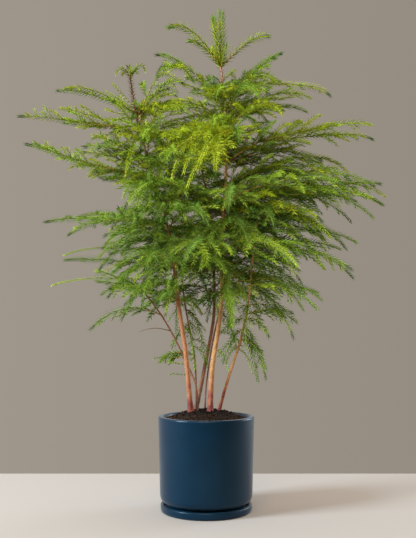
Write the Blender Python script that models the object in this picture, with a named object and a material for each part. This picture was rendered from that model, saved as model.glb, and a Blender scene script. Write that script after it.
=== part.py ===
"""A clump of young Norfolk Island pines in a cylindrical glazed pot on its saucer.

Metres, +Z up. The origin is the centre of the saucer's flat underside, and -Y faces the viewer.
"""

import math
import random

import bmesh
import bpy
from mathutils import Vector
from mathutils.bvhtree import BVHTree

# Pot, saucer and soil
GAP = 0.0003
LATHE_STEPS = 30
SAUCER_RADIUS = 0.089
SAUCER_HEIGHT = 0.0145
SAUCER_FLOOR = 0.0045
SAUCER_WALL = 0.006
FOOT_RADIUS = 0.074
FOOT_TOP = 0.0165
BODY_FOOT_RADIUS = 0.079
WALL_FOOT_RADIUS = 0.0902
WALL_FOOT_HEIGHT = 0.028
RIM_RADIUS = 0.0948
RIM_HEIGHT = 0.1825
RIM_ROUND = 0.0025
MOUTH_RADIUS = 0.082
POT_FLOOR = 0.009
INNER_FOOT_RADIUS = 0.066
SOIL_EDGE_HEIGHT = 0.176
SOIL_MOUND_HEIGHT = 0.190
SOIL_MOUND_RADIUS = 0.043

# Stems: radius at the foot, radius at the tip, and the centreline from the soil to the tip
STEM_SIDES = 8
STEM_STEP = 0.055
FLARE = 0.5
FLARE_HEIGHT = 0.011
STEMS = {
    "centre": (0.0052, 0.0019, (
        (0.0075, -0.016, 0.190), (0.012, -0.013, 0.277), (0.029, -0.006, 0.392), (0.031, 0.000, 0.511),
        (0.040, 0.004, 0.671), (0.040, 0.004, 0.791), (0.030, 0.000, 0.889))),
    "left": (0.0050, 0.0019, (
        (-0.030, -0.014, 0.190), (-0.041, -0.020, 0.311), (-0.055, -0.020, 0.402), (-0.072, -0.015, 0.531),
        (-0.112, -0.010, 0.671), (-0.144, -0.005, 0.793), (-0.157, 0.000, 0.868))),
    "right": (0.0031, 0.0016, (
        (0.0245, 0.004, 0.190), (0.043, 0.001, 0.253), (0.0675, -0.004, 0.329), (0.082, -0.010, 0.396),
        (0.092, -0.020, 0.491), (0.099, -0.026, 0.566))),
    "back": (0.0042, 0.0017, (
        (-0.021, 0.016, 0.190), (-0.006, 0.027, 0.262), (0.013, 0.044, 0.361), (0.017, 0.056, 0.421),
        (0.008, 0.085, 0.591), (-0.018, 0.105, 0.741))),
    "low_left": (0.0022, 0.0014, (
        (-0.018, -0.009, 0.190), (-0.020, -0.002, 0.238), (-0.034, 0.003, 0.274), (-0.071, 0.002, 0.349),
        (-0.102, -0.005, 0.398), (-0.130, -0.012, 0.432))),
    "thin_left": (0.0020, 0.0014, (
        (-0.020, 0.004, 0.190), (-0.022, 0.012, 0.278), (-0.031, 0.020, 0.337), (-0.043, 0.030, 0.400),
        (-0.052, 0.048, 0.471))),
    "thin_right": (0.0018, 0.0014, (
        (-0.003, 0.031, 0.190), (0.000, 0.046, 0.241), (0.014, 0.062, 0.331), (0.042, 0.082, 0.451),
        (0.070, 0.105, 0.571))),
}

# Whorls: stem, height, reach to the right, left and depth, rise of the tip for the same three, angle at
# which the branches leave the stem, and the groups of azimuths that fork from one stalk.
# A group written with a bough has a bare limb for that share of its reach.
WHORLS = (
    ("centre", 0.824, (0.222, 0.158, 0.170), (0.020, 0.095, 0.030), 42,
     (((14,), 0.25), ((246, 300), 0), ((168, 104), 0))),
    ("centre", 0.772, (0.170, 0.150, 0.190), (0.050, 0.040, 0.010), 38,
     (((338, 286), 0), ((216, 176), 0), ((62, 122), 0))),
    ("centre", 0.692, (0.300, 0.150, 0.220), (0.070, 0.020, 0.020), 36,
     (((4, 338), 0.22), ((226, 190), 0), ((96, 56), 0))),
    ("centre", 0.590, (0.318, 0.150, 0.250), (0.050, 0.030, 0.010), 30,
     (((22, 355), 0.22), ((270, 316), 0.2), ((80, 130), 0))),
    ("centre", 0.500, (0.272, 0.150, 0.240), (0.000, 0.000, -0.030), 24,
     (((338, 8), 0.2), ((300, 252), 0))),
    ("centre", 0.420, (0.225, 0.120, 0.180), (0.000, -0.020, -0.050), 20,
     (((4, 324, 274), 0),)),
    ("left", 0.790, (0.100, 0.165, 0.150), (0.095, 0.054, -0.010), 42,
     (((172, 226, 270), 0), ((25, 92), 0))),
    ("left", 0.735, (0.110, 0.245, 0.190), (0.050, 0.055, 0.020), 36,
     (((183, 150), 0.2), ((300, 248), 0), ((80,), 0))),
    ("left", 0.640, (0.130, 0.262, 0.230), (0.040, 0.110, 0.020), 30,
     (((176, 206), 0.2), ((282, 326), 0), ((112,), 0))),
    ("left", 0.550, (0.120, 0.248, 0.230), (0.020, 0.015, 0.000), 26,
     (((184, 152), 0.2), ((232, 290), 0))),
    ("left", 0.475, (0.120, 0.218, 0.200), (0.000, 0.026, -0.010), 24,
     (((176, 132), 0), ((258, 304), 0))),
    ("left", 0.410, (0.120, 0.262, 0.180), (-0.030, 0.020, -0.040), 22,
     (((188, 222, 258), 0),)),
    ("back", 0.590, (0.200, 0.210, 0.210), (0.020, 0.020, 0.020), 30,
     (((160,), 0), ((92, 44), 0))),
    ("back", 0.480, (0.220, 0.220, 0.190), (0.000, 0.000, 0.000), 24,
     (((118, 160, 70), 0),)),
    ("right", 0.381, (0.108, 0.080, 0.090), (-0.024, -0.020, -0.045), 24,
     (((342, 18), 0),)),
    ("right", 0.330, (0.058, 0.050, 0.060), (-0.055, -0.040, -0.040), 16,
     (((320,), 0),)),
    ("low_left", 0.379, (0.080, 0.138, 0.100), (0.000, -0.034, -0.030), 20,
     (((186,), 0),)),
    ("thin_left", 0.300, (0.060, 0.066, 0.070), (-0.020, -0.006, -0.020), 22,
     (((170, 196), 0),)),
)

# Leading shoots and top whorls: stem, and the reach, azimuth, rise and starting angle of each shoot
LEADERS = (
    ("centre", (
        (0.003, 180, 0.122, 80), (0.098, 5, 0.066, 50), (0.108, 178, 0.083, 55), (0.026, 232, 0.092, 75),
        (0.070, 285, 0.060, 45), (0.075, 105, 0.070, 45))),
    ("left", ((0.016, 186, 0.004, 70), (0.016, 10, 0.010, 70))),
    ("right", ((0.150, 335, -0.030, 30), (0.120, 282, -0.020, 35), (0.060, 30, 0.060, 60))),
    ("back", ((0.020, 120, 0.070, 75), (0.140, 160, 0.030, 42), (0.150, 105, 0.020, 42), (0.140, 48, 0.030, 42))),
    ("low_left", ((0.092, 172, 0.040, 30), (0.080, 214, -0.010, 30), (0.070, 130, 0.020, 35))),
    ("thin_left", ((0.040, 150, 0.060, 60), (0.060, 240, 0.020, 40))),
    ("thin_right", ((0.160, 30, 0.000, 30), (0.150, 78, 0.010, 30), (0.120, 340, 0.020, 35))),
)

# Branches: three-sided twigs that carry toothed sprays of needles
SEED = 7
STALK = 0.004
FORK_STEP = 0.0004
INSIDE = 0.6
LIMB_RADIUS = 0.0026
LIMB_TIP_RADIUS = 0.0011
LIMB_STEPS = 4
TWIG_END = 0.76
SWAY = 0.05
SWINGS = (0, 6, -6, 12, -12, 20, -20)
SPRAY_WIDEST = 0.014
SPRAY_SLIMNESS = 0.21
SPRAY_THICKNESS = 0.0022
SPRAY_SAG = 0.10
NOTCH = 0.6
SPRAY_ANGLE = 54
SPRAY_LIFT = (-48, 20)
SPRAY_ROLL = 62
SPRAY_SHARE = 0.43
SPRAY_SHORTEST = 0.018
SPRAY_COUNTS = ((0.17, 5), (0.09, 4), (0.03, 2), (0, 1))
FIRST_SPRAY = 0.16
LAST_SPRAY = 0.74
CLEAR = 0.0006

GLAZE = (0.014, 0.042, 0.095, 1)
SOIL = (0.028, 0.018, 0.011, 1)
BARK = (0.42, 0.19, 0.09, 1)
NEEDLES = (0.10, 0.25, 0.03, 1)


def material(name, colour, roughness):
    made = bpy.data.materials.new(name)
    made.use_nodes = True
    shader = made.node_tree.nodes["Principled BSDF"]
    shader.inputs["Base Color"].default_value = colour
    shader.inputs["Roughness"].default_value = roughness
    shader.inputs["Metallic"].default_value = 0
    return made


def object_from(name, verts, faces, finish):
    mesh = bpy.data.meshes.new(name)
    mesh.from_pydata([tuple(v) for v in verts], [], faces)
    mesh.materials.append(finish)
    obj = bpy.data.objects.new(name, mesh)
    bpy.context.scene.collection.objects.link(obj)
    return obj


def turned(name, profile, finish):
    """A closed body turned about Z from a profile that begins and ends on the axis."""
    bm = bmesh.new()
    line = [bm.verts.new((radius, 0, height)) for radius, height in profile]
    edges = [bm.edges.new(pair) for pair in zip(line, line[1:])]
    bmesh.ops.spin(
        bm, geom=line + edges, cent=(0, 0, 0), axis=(0, 0, 1), angle=math.tau, steps=LATHE_STEPS, use_merge=True
    )
    bmesh.ops.remove_doubles(bm, verts=bm.verts, dist=1e-6)
    bmesh.ops.recalc_face_normals(bm, faces=bm.faces)
    mesh = bpy.data.meshes.new(name)
    bm.to_mesh(mesh)
    bm.free()
    mesh.shade_smooth()
    mesh.set_sharp_from_angle(angle=math.radians(35))
    mesh.materials.append(finish)
    obj = bpy.data.objects.new(name, mesh)
    bpy.context.scene.collection.objects.link(obj)
    return obj


def make_saucer(finish):
    inner = SAUCER_RADIUS - SAUCER_WALL
    turned("saucer", [
        (0, 0), (SAUCER_RADIUS - 0.004, 0), (SAUCER_RADIUS, 0.004), (SAUCER_RADIUS, SAUCER_HEIGHT - 0.0015),
        (SAUCER_RADIUS - 0.002, SAUCER_HEIGHT), (inner + 0.0015, SAUCER_HEIGHT), (inner, SAUCER_HEIGHT - 0.002),
        (inner - 0.002, SAUCER_FLOOR), (0, SAUCER_FLOOR),
    ], finish)


def make_pot(finish):
    seat = SAUCER_FLOOR + GAP
    turned("pot", [
        (0, seat), (FOOT_RADIUS, seat), (FOOT_RADIUS, FOOT_TOP), (BODY_FOOT_RADIUS, FOOT_TOP + 0.001),
        (WALL_FOOT_RADIUS - 0.0035, FOOT_TOP + 0.005), (WALL_FOOT_RADIUS, WALL_FOOT_HEIGHT),
        (RIM_RADIUS, RIM_HEIGHT - RIM_ROUND), (RIM_RADIUS - RIM_ROUND, RIM_HEIGHT),
        (MOUTH_RADIUS + 0.004, RIM_HEIGHT - 0.0005), (MOUTH_RADIUS, RIM_HEIGHT - 0.005),
        (INNER_FOOT_RADIUS + 0.008, seat + POT_FLOOR + 0.012), (INNER_FOOT_RADIUS, seat + POT_FLOOR),
        (0, seat + POT_FLOOR),
    ], finish)


def make_soil(finish):
    """The root ball that fills the pot, up to the low mound on which the stems stand."""
    floor = SAUCER_FLOOR + POT_FLOOR + 2 * GAP
    low_radius = INNER_FOOT_RADIUS + 0.008
    low_height = floor + 0.012
    slope = (MOUTH_RADIUS - low_radius) / (RIM_HEIGHT - 0.005 - low_height)
    edge = low_radius + slope * (SOIL_EDGE_HEIGHT - low_height) - 2 * GAP
    turned("soil", [
        (0, floor), (INNER_FOOT_RADIUS - 2 * GAP, floor), (low_radius - 2 * GAP, low_height),
        (edge, SOIL_EDGE_HEIGHT), (0.068, SOIL_EDGE_HEIGHT + 0.003), (0.054, SOIL_MOUND_HEIGHT - 0.004),
        (SOIL_MOUND_RADIUS, SOIL_MOUND_HEIGHT), (0, SOIL_MOUND_HEIGHT),
    ], finish)


def curve(stem, height):
    """(point, upward direction, radius) of a stem at a height: a smooth curve through its named points."""
    foot, tip, points = STEMS[stem]
    low, high = points[0][2], points[-1][2]
    k = max(i for i in range(len(points) - 1) if points[i][2] <= height)
    before, start, end, after = (Vector(points[min(max(i, 0), len(points) - 1)]) for i in range(k - 1, k + 3))
    span = end.z - start.z
    t = (height - start.z) / span
    slope_in = (end - before) / (end.z - before.z) * span
    slope_out = (after - start) / (after.z - start.z) * span
    point = (
        start * (2 * t**3 - 3 * t**2 + 1)
        + slope_in * (t**3 - 2 * t**2 + t)
        + end * (3 * t**2 - 2 * t**3)
        + slope_out * (t**3 - t**2)
    )
    point.z = height
    upward = slope_in.lerp(slope_out, t).normalized()
    radius = foot + (tip - foot) * (height - low) / (high - low)
    radius *= 1 + FLARE * math.exp(-(height - low) / FLARE_HEIGHT)
    return point, upward, radius


def ring_heights(stem):
    """The heights of a stem's rings, closer together over the flare at its foot."""
    points = STEMS[stem][2]
    low, high = points[0][2] + GAP, points[-1][2]
    steps = math.ceil((high - low) / STEM_STEP)
    return [low, low + 0.006, low + 0.016] + [low + (high - low) * k / steps for k in range(1, steps + 1)]


def centreline(stem, height):
    """(point, upward direction, radius) at a height on the straight runs between a stem's rings."""
    heights = ring_heights(stem)
    k = max(i for i in range(len(heights) - 1) if heights[i] <= height)
    start, end = curve(stem, heights[k]), curve(stem, heights[k + 1])
    t = (height - heights[k]) / (heights[k + 1] - heights[k])
    return start[0].lerp(end[0], t), (end[0] - start[0]).normalized(), start[2] + (end[2] - start[2]) * t


def tube(rings):
    """Vertices and faces of a closed tube through rings of points, with flat ends."""
    sides = len(rings[0])
    verts = [point for ring in rings for point in ring]
    faces = []
    for r in range(len(rings) - 1):
        for s in range(sides):
            a, b = r * sides + s, r * sides + (s + 1) % sides
            faces.append((a, b, b + sides, a + sides))
    last = (len(rings) - 1) * sides
    faces.append(tuple(reversed(range(sides))))
    faces.append(tuple(range(last, last + sides)))
    return verts, faces


def ring(centre, across, over, radius, sides):
    """Points round a centre, in the plane of two unit vectors."""
    turns = [math.tau * k / sides for k in range(sides)]
    return [centre + (across * math.cos(a) + over * math.sin(a)) * radius for a in turns]


def make_stem(name, finish):
    rings = []
    for k, height in enumerate(ring_heights(name)):
        centre, upward, radius = curve(name, height)
        if k == 0:
            upward = Vector((0, 0, 1))
        across = Vector((0, 1, 0)).cross(upward).normalized()
        rings.append(ring(centre, across, upward.cross(across), radius, STEM_SIDES))
    verts, faces = tube(rings)
    obj = object_from("stem_" + name, verts, faces, finish)
    obj.data.shade_smooth()
    obj.data.set_sharp_from_angle(angle=math.radians(50))
    return verts, faces


def blended(values, azimuth):
    """A right, left and depth value mixed by where the azimuth points."""
    right, left, depth = values
    side = math.cos(azimuth)
    return side**2 * (right if side > 0 else left) + (1 - side**2) * depth


class Limb:
    """A branch's axis: it leaves its start at an angle and arches to its tip, swaying a little sideways."""

    def __init__(self, start, azimuth, reach, rise, angle, sway):
        self.start = Vector(start)
        self.azimuth, self.angle = azimuth, angle
        self.outward = Vector((math.cos(azimuth), math.sin(azimuth), 0))
        self.sideways = Vector((-math.sin(azimuth), math.cos(azimuth), 0))
        self.reach, self.rise, self.sway = reach, rise, sway
        self.climb = math.tan(angle) * reach

    def turned(self, degrees):
        azimuth = self.azimuth + math.radians(degrees)
        return Limb(self.start, azimuth, self.reach, self.rise, self.angle, self.sway)

    def at(self, t):
        lift = self.climb * t - (self.climb - self.rise) * t * t
        sway = self.sway * self.reach * math.sin(math.pi * t)
        return self.start + self.outward * self.reach * t + self.sideways * sway + Vector((0, 0, lift))

    def inside(self, t):
        """The point at t on the straight runs of the limb's twig, so a root there sits within it."""
        k = min(int(t / TWIG_END * LIMB_STEPS), LIMB_STEPS - 1)
        start, end = (self.at(TWIG_END * step / LIMB_STEPS) for step in (k, k + 1))
        return start.lerp(end, t / TWIG_END * LIMB_STEPS - k)

    def frame(self, t):
        """(direction, side, over) at t."""
        along = (self.at(t + 0.02) - self.at(t - 0.02)).normalized()
        side = self.sideways - along * self.sideways.dot(along)
        side.normalize()
        return along, side, side.cross(-along)

    def length(self):
        marks = [self.at(k / 8) for k in range(9)]
        return sum((b - a).length for a, b in zip(marks, marks[1:]))


def twig(limb, head, grown=0.0):
    """The three-sided twig along a limb, from its flat head if it has one, drawn out into a blade at its tip."""
    rings = []
    if head:
        root, outward, radius = head
        _, side, _ = limb.frame(0)
        side = (side - outward * side.dot(outward)).normalized()
        rings.append(ring(root, side, outward.cross(side), radius, 3))
    for k in range(LIMB_STEPS + 1):
        t = TWIG_END * k / LIMB_STEPS
        _, side, over = limb.frame(t)
        radius = LIMB_RADIUS + (LIMB_TIP_RADIUS - LIMB_RADIUS) * t + grown
        if k == 0 and not head:
            radius *= INSIDE
        rings.append(ring(limb.at(t), side, over, radius, 3))
    verts, faces = tube(rings)
    faces.pop()
    tip_verts, tip_faces = tip_blade(limb, len(verts), grown)
    return verts + tip_verts, faces + tip_faces


def tip_blade(limb, count, grown):
    """The toothed blade that closes a twig of so many vertices beyond its last ring of three."""
    _, side, over = limb.frame(TWIG_END)
    start = limb.at(TWIG_END)
    reach = limb.at(1) - start
    half = min(SPRAY_WIDEST, SPRAY_SLIMNESS * reach.length) + grown
    thick = SPRAY_THICKNESS / 2 + grown
    wide, notch = start + reach * 0.35, start + reach * 0.5
    verts = [
        wide + side * half, wide - side * half, wide + over * thick, wide - over * thick,
        notch + side * half * NOTCH, notch - side * half * NOTCH, limb.at(1) + reach.normalized() * grown,
    ]
    a, b, c, left, right, top, bottom, left_notch, right_notch, point = range(count - 3, count + 7)
    faces = [
        (a, b, top), (a, top, left), (b, c, right), (b, right, top), (c, a, bottom), (a, left, bottom),
        (c, bottom, right), (left, top, left_notch), (left_notch, top, point), (point, top, right_notch),
        (right_notch, top, right), (left, left_notch, bottom), (left_notch, point, bottom),
        (point, right_notch, bottom), (right_notch, right, bottom),
    ]
    return verts, faces


def spray(root, along, normal, length, grown=0.0):
    """A toothed blade that stands for a shoot set with needles: thick at its middle, thin at its edges."""
    across = normal.cross(along)
    reach, thick = length + grown, SPRAY_THICKNESS / 2 + grown
    half = min(SPRAY_WIDEST, SPRAY_SLIMNESS * length) + grown

    def place(x, y, z):
        return root + along * (x * reach) + across * y + normal * (z - SPRAY_SAG * x * x * length)

    outline = [(0, 0), (0.38, half), (0.47, NOTCH * half), (1, 0), (0.47, -NOTCH * half), (0.38, -half)]
    verts = [place(x, y, 0) for x, y in outline] + [place(0.4, 0, thick), place(0.4, 0, -thick)]
    faces = []
    for i in range(6):
        j = (i + 1) % 6
        faces += [(j, i, 6), (i, j, 7)]
    return verts, faces


def sprays_of(limb, chance):
    """(root, direction, normal, length) of each spray along a limb, the outermost first."""
    found = []
    count = next(count for length, count in SPRAY_COUNTS if limb.length() >= length)
    first_hand = chance.choice((-1, 1))
    for k in reversed(range(count)):
        t = FIRST_SPRAY + (LAST_SPRAY - FIRST_SPRAY) * (k + 0.2 * chance.uniform(-1, 1)) / max(count - 1, 1)
        along, side, over = limb.frame(t)
        hand = first_hand if k % 2 else -first_hand
        lifted = math.radians(chance.uniform(*SPRAY_LIFT))
        angle = math.radians(SPRAY_ANGLE + chance.uniform(-8, 8))
        sideways = side * (hand * math.cos(lifted)) + over * math.sin(lifted)
        direction = (along * math.cos(angle) + sideways * math.sin(angle)).normalized()
        flat = over - direction * over.dot(direction)
        flat.normalize()
        roll = math.radians(chance.uniform(-SPRAY_ROLL, SPRAY_ROLL))
        normal = flat * math.cos(roll) + direction.cross(flat) * math.sin(roll)
        length = SPRAY_SHARE * limb.length() * (1.1 - 0.75 * t) * chance.uniform(0.88, 1.1)
        found.append((limb.inside(t), direction, normal, max(length, SPRAY_SHORTEST)))
    return found


def tree_of(verts, faces):
    return BVHTree.FromPolygons([tuple(v) for v in verts], faces)


def bounds_of(verts):
    return [min(v[k] for v in verts) for k in range(3)], [max(v[k] for v in verts) for k in range(3)]


class Space:
    """What each node already fills, so that no piece of another node is set into it."""

    def __init__(self):
        self.taken = []

    def add(self, node, verts, faces):
        self.taken.append((node, bounds_of(verts), tree_of(verts, faces)))

    def is_free(self, node, verts, faces):
        low, high = bounds_of(verts)
        tree = tree_of(verts, faces)
        for other, (other_low, other_high), other_tree in self.taken:
            if other == node or any(low[k] > other_high[k] or high[k] < other_low[k] for k in range(3)):
                continue
            if tree.overlap(other_tree):
                return False
        return True


def stem_side(stem, height, azimuth):
    """(point, outward direction, upward direction) just clear of a stem's skin."""
    centre, upward, radius = centreline(stem, height)
    outward = Vector((math.cos(azimuth), math.sin(azimuth), 0))
    outward = (outward - upward * outward.dot(upward)).normalized()
    return centre + outward * (radius + GAP), outward, upward


def mean_azimuth(azimuths):
    return math.atan2(sum(math.sin(a) for a in azimuths), sum(math.cos(a) for a in azimuths))


def plan_masses():
    """Every mass as (name, its head, its limbs, bough or None), from the whorls.

    A head is where the mass starts, the way it faces and its radius.
    """
    masses = []
    chance = random.Random(SEED)
    counts = {}
    for stem, height, reaches, rises, angle, groups in WHORLS:
        counts[stem] = counts.get(stem, 0) + 1
        for letter, (degrees, bough_share) in zip("abcdef", groups):
            azimuths = [math.radians(d) for d in degrees]
            middle = mean_azimuth(azimuths)
            skin, outward, upward = stem_side(stem, height, middle)
            label = f"{stem}_{counts[stem]}{letter}"
            bough = None
            root = skin
            if bough_share:
                whole = Limb(
                    skin, middle, blended(reaches, middle), blended(rises, middle), math.radians(angle), 0)
                bough = ("bough_" + label, whole, bough_share, upward.cross(outward), upward)
                outward, _, _ = whole.frame(bough_share)
                root = whole.at(bough_share) + outward * GAP
            head = (root, outward, LIMB_RADIUS)
            limbs = []
            for k, azimuth in enumerate(azimuths):
                tip = skin + Vector((math.cos(azimuth), math.sin(azimuth), 0)) * blended(reaches, azimuth)
                tip.z = skin.z + blended(rises, azimuth)
                steep = angle * (0.55 if bough else 1)
                start = root + outward * (STALK - FORK_STEP * k)
                limbs.append(limb_between(start, tip, steep, SWAY * chance.uniform(-1, 1)))
            masses.append(("foliage_" + label, head, limbs, bough))
    for stem, shoots in LEADERS:
        top, upward, radius = centreline(stem, STEMS[stem][2][-1][2])
        head = (top + upward * GAP, upward, radius)
        limbs = []
        for k, (reach, degrees, rise, angle) in enumerate(shoots):
            azimuth = math.radians(degrees)
            tip = top + Vector((math.cos(azimuth) * reach, math.sin(azimuth) * reach, rise))
            limbs.append(limb_between(top + upward * (STALK - FORK_STEP * k), tip, angle, 0))
        masses.append(("foliage_" + stem + "_top", head, limbs, None))
    return masses


def limb_between(start, tip, degrees, sway):
    flat = Vector((tip.x - start.x, tip.y - start.y, 0))
    azimuth = math.atan2(flat.y, flat.x)
    return Limb(start, azimuth, flat.length, tip.z - start.z, math.radians(degrees), sway)


def make_bough(bough, space, finish):
    name, limb, share, across, upward = bough
    rings = [ring(limb.at(0), across, upward, LIMB_RADIUS, 6)]
    steps = 4
    for k in range(1, steps + 1):
        t = share * k / steps
        _, side, over = limb.frame(t)
        rings.append(ring(limb.at(t), side, over, LIMB_RADIUS * (1 - 0.1 * k / steps), 6))
    verts, faces = tube(rings)
    space.add(name, verts, faces)
    object_from(name, verts, faces, finish)


def keep_largest(mesh):
    """Drops every loose scrap that a union leaves beside the solid."""
    bm = bmesh.new()
    bm.from_mesh(mesh)
    bmesh.ops.remove_doubles(bm, verts=bm.verts, dist=1e-6)
    left = set(bm.faces)
    islands = []
    while left:
        island = {left.pop()}
        open_faces = list(island)
        while open_faces:
            face = open_faces.pop()
            for edge in face.edges:
                for other in edge.link_faces:
                    if other in left:
                        left.discard(other)
                        island.add(other)
                        open_faces.append(other)
        islands.append(island)
    islands.sort(key=len, reverse=True)
    for island in islands[1:]:
        bmesh.ops.delete(bm, geom=list(island), context="FACES")
    bm.to_mesh(mesh)
    bm.free()


def joined(name, pieces, finish):
    """One solid from the pieces of a mass, the first of them its root."""
    base = object_from(name, *pieces[0], finish)
    others = bpy.data.collections.new("parts_of_" + name)
    bpy.context.scene.collection.children.link(others)
    for k, (verts, faces) in enumerate(pieces[1:]):
        part = object_from(f"{name}_{k}", verts, faces, finish)
        bpy.context.scene.collection.objects.unlink(part)
        others.objects.link(part)
    union = base.modifiers.new("union", "BOOLEAN")
    union.operation = "UNION"
    union.operand_type = "COLLECTION"
    union.collection = others
    union.solver = "EXACT"
    bpy.context.view_layer.update()
    graph = bpy.context.evaluated_depsgraph_get()
    mesh = bpy.data.meshes.new_from_object(base.evaluated_get(graph))
    base.modifiers.remove(union)
    base.data = mesh
    keep_largest(mesh)
    for part in list(others.objects):
        bpy.data.objects.remove(part)
    bpy.data.collections.remove(others)
    return base


def set_limbs(masses, space):
    """Each mass's twigs, swung aside where they would touch, and (name, sprays) for every limb that was set."""
    chance = random.Random(SEED + 1)
    pieces = {name: [] for name, _, _, _ in masses}
    limbs_set = []
    for name, head, limbs, _ in masses:
        for limb in limbs:
            tries = [limb.turned(degrees) for degrees in SWINGS]
            free = next((limb for limb in tries if space.is_free(name, *twig(limb, None, CLEAR))), None)
            if free:
                solid = twig(free, None if pieces[name] else head)
                pieces[name].append(solid)
                space.add(name, *solid)
                limbs_set.append((name, sprays_of(free, chance)))
    return pieces, limbs_set


def make_foliage(space, bark, needles):
    masses = plan_masses()
    for _, _, _, bough in masses:
        if bough:
            make_bough(bough, space, bark)
    pieces, limbs_set = set_limbs(masses, space)
    for turn in range(SPRAY_COUNTS[0][1]):
        for name, sprays in limbs_set:
            if turn < len(sprays) and space.is_free(name, *spray(*sprays[turn], CLEAR)):
                solid = spray(*sprays[turn])
                pieces[name].append(solid)
                space.add(name, *solid)
    for name in pieces:
        joined(name, pieces[name], needles)


def main():
    for obj in list(bpy.data.objects):
        bpy.data.objects.remove(obj)
    glaze = material("glaze", GLAZE, 0.45)
    soil = material("soil", SOIL, 0.95)
    bark = material("bark", BARK, 0.75)
    needles = material("needles", NEEDLES, 0.5)
    make_saucer(glaze)
    make_pot(glaze)
    make_soil(soil)
    space = Space()
    for name in STEMS:
        space.add("stem_" + name, *make_stem(name, bark))
    make_foliage(space, bark, needles)


main()
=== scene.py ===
"""The looks of a potted clump of young Norfolk Island pines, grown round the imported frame. Metres, +Z up."""

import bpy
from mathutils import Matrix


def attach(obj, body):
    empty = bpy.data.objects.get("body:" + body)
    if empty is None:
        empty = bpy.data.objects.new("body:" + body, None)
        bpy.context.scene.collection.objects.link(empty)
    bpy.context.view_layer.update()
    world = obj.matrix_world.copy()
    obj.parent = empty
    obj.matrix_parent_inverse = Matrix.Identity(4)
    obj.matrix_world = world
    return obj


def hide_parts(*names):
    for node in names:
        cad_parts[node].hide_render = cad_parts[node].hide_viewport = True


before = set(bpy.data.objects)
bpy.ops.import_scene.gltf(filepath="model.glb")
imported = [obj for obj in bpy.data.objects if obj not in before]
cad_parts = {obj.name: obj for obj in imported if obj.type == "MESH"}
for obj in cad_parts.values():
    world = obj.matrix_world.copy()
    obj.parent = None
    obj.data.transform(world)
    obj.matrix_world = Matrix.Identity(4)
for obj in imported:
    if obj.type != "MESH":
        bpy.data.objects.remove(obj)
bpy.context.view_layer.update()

import math
import random

import bpy
import numpy as np
from mathutils import Vector, noise

# ---------------------------------------------------------------- the source's rule, with its values

GAP = 0.0003  # between solids that would touch
STEM_STEP = 0.055  # from one ring of a stem to the next, at most
FLARE = 0.5  # how much thicker a stem is at its foot
FLARE_HEIGHT = 0.011


def metres(value):
    """Millimetres, alone or in nested tuples, as metres."""
    return tuple(map(metres, value)) if isinstance(value, tuple) else value / 1000


def rows_of(groups, *columns):
    """(stem, *row) for every row of a table grouped by stem. The numbered columns hold millimetres."""
    return [(stem, *(metres(v) if k in columns else v for k, v in enumerate(row)))
            for stem, rows in groups for row in rows]


STEMS = {  # radius at the foot and at the tip in metres, and the points that the stem runs through in mm
    "centre": (0.0052, 0.0019, (
        (7.5, -16, 190), (12, -13, 277), (29, -6, 392), (31, 0, 511), (40, 4, 671), (40, 4, 791), (30, 0, 889))),
    "left": (0.005, 0.0019, (
        (-30, -14, 190), (-41, -20, 311), (-55, -20, 402), (-72, -15, 531), (-112, -10, 671), (-144, -5, 793),
        (-157, 0, 868))),
    "right": (0.0031, 0.0016, (
        (24.5, 4, 190), (43, 1, 253), (67.5, -4, 329), (82, -10, 396), (92, -20, 491), (99, -26, 566))),
    "back": (0.0042, 0.0017, (
        (-21, 16, 190), (-6, 27, 262), (13, 44, 361), (17, 56, 421), (8, 85, 591), (-18, 105, 741))),
    "low_left": (0.0022, 0.0014, (
        (-18, -9, 190), (-20, -2, 238), (-34, 3, 274), (-71, 2, 349), (-102, -5, 398), (-130, -12, 432))),
    "thin_left": (0.002, 0.0014, ((-20, 4, 190), (-22, 12, 278), (-31, 20, 337), (-43, 30, 400), (-52, 48, 471))),
    "thin_right": (0.0018, 0.0014, ((-3, 31, 190), (0, 46, 241), (14, 62, 331), (42, 82, 451), (70, 105, 571))),
}
STEMS = {stem: (foot, tip, metres(points)) for stem, (foot, tip, points) in STEMS.items()}

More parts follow.
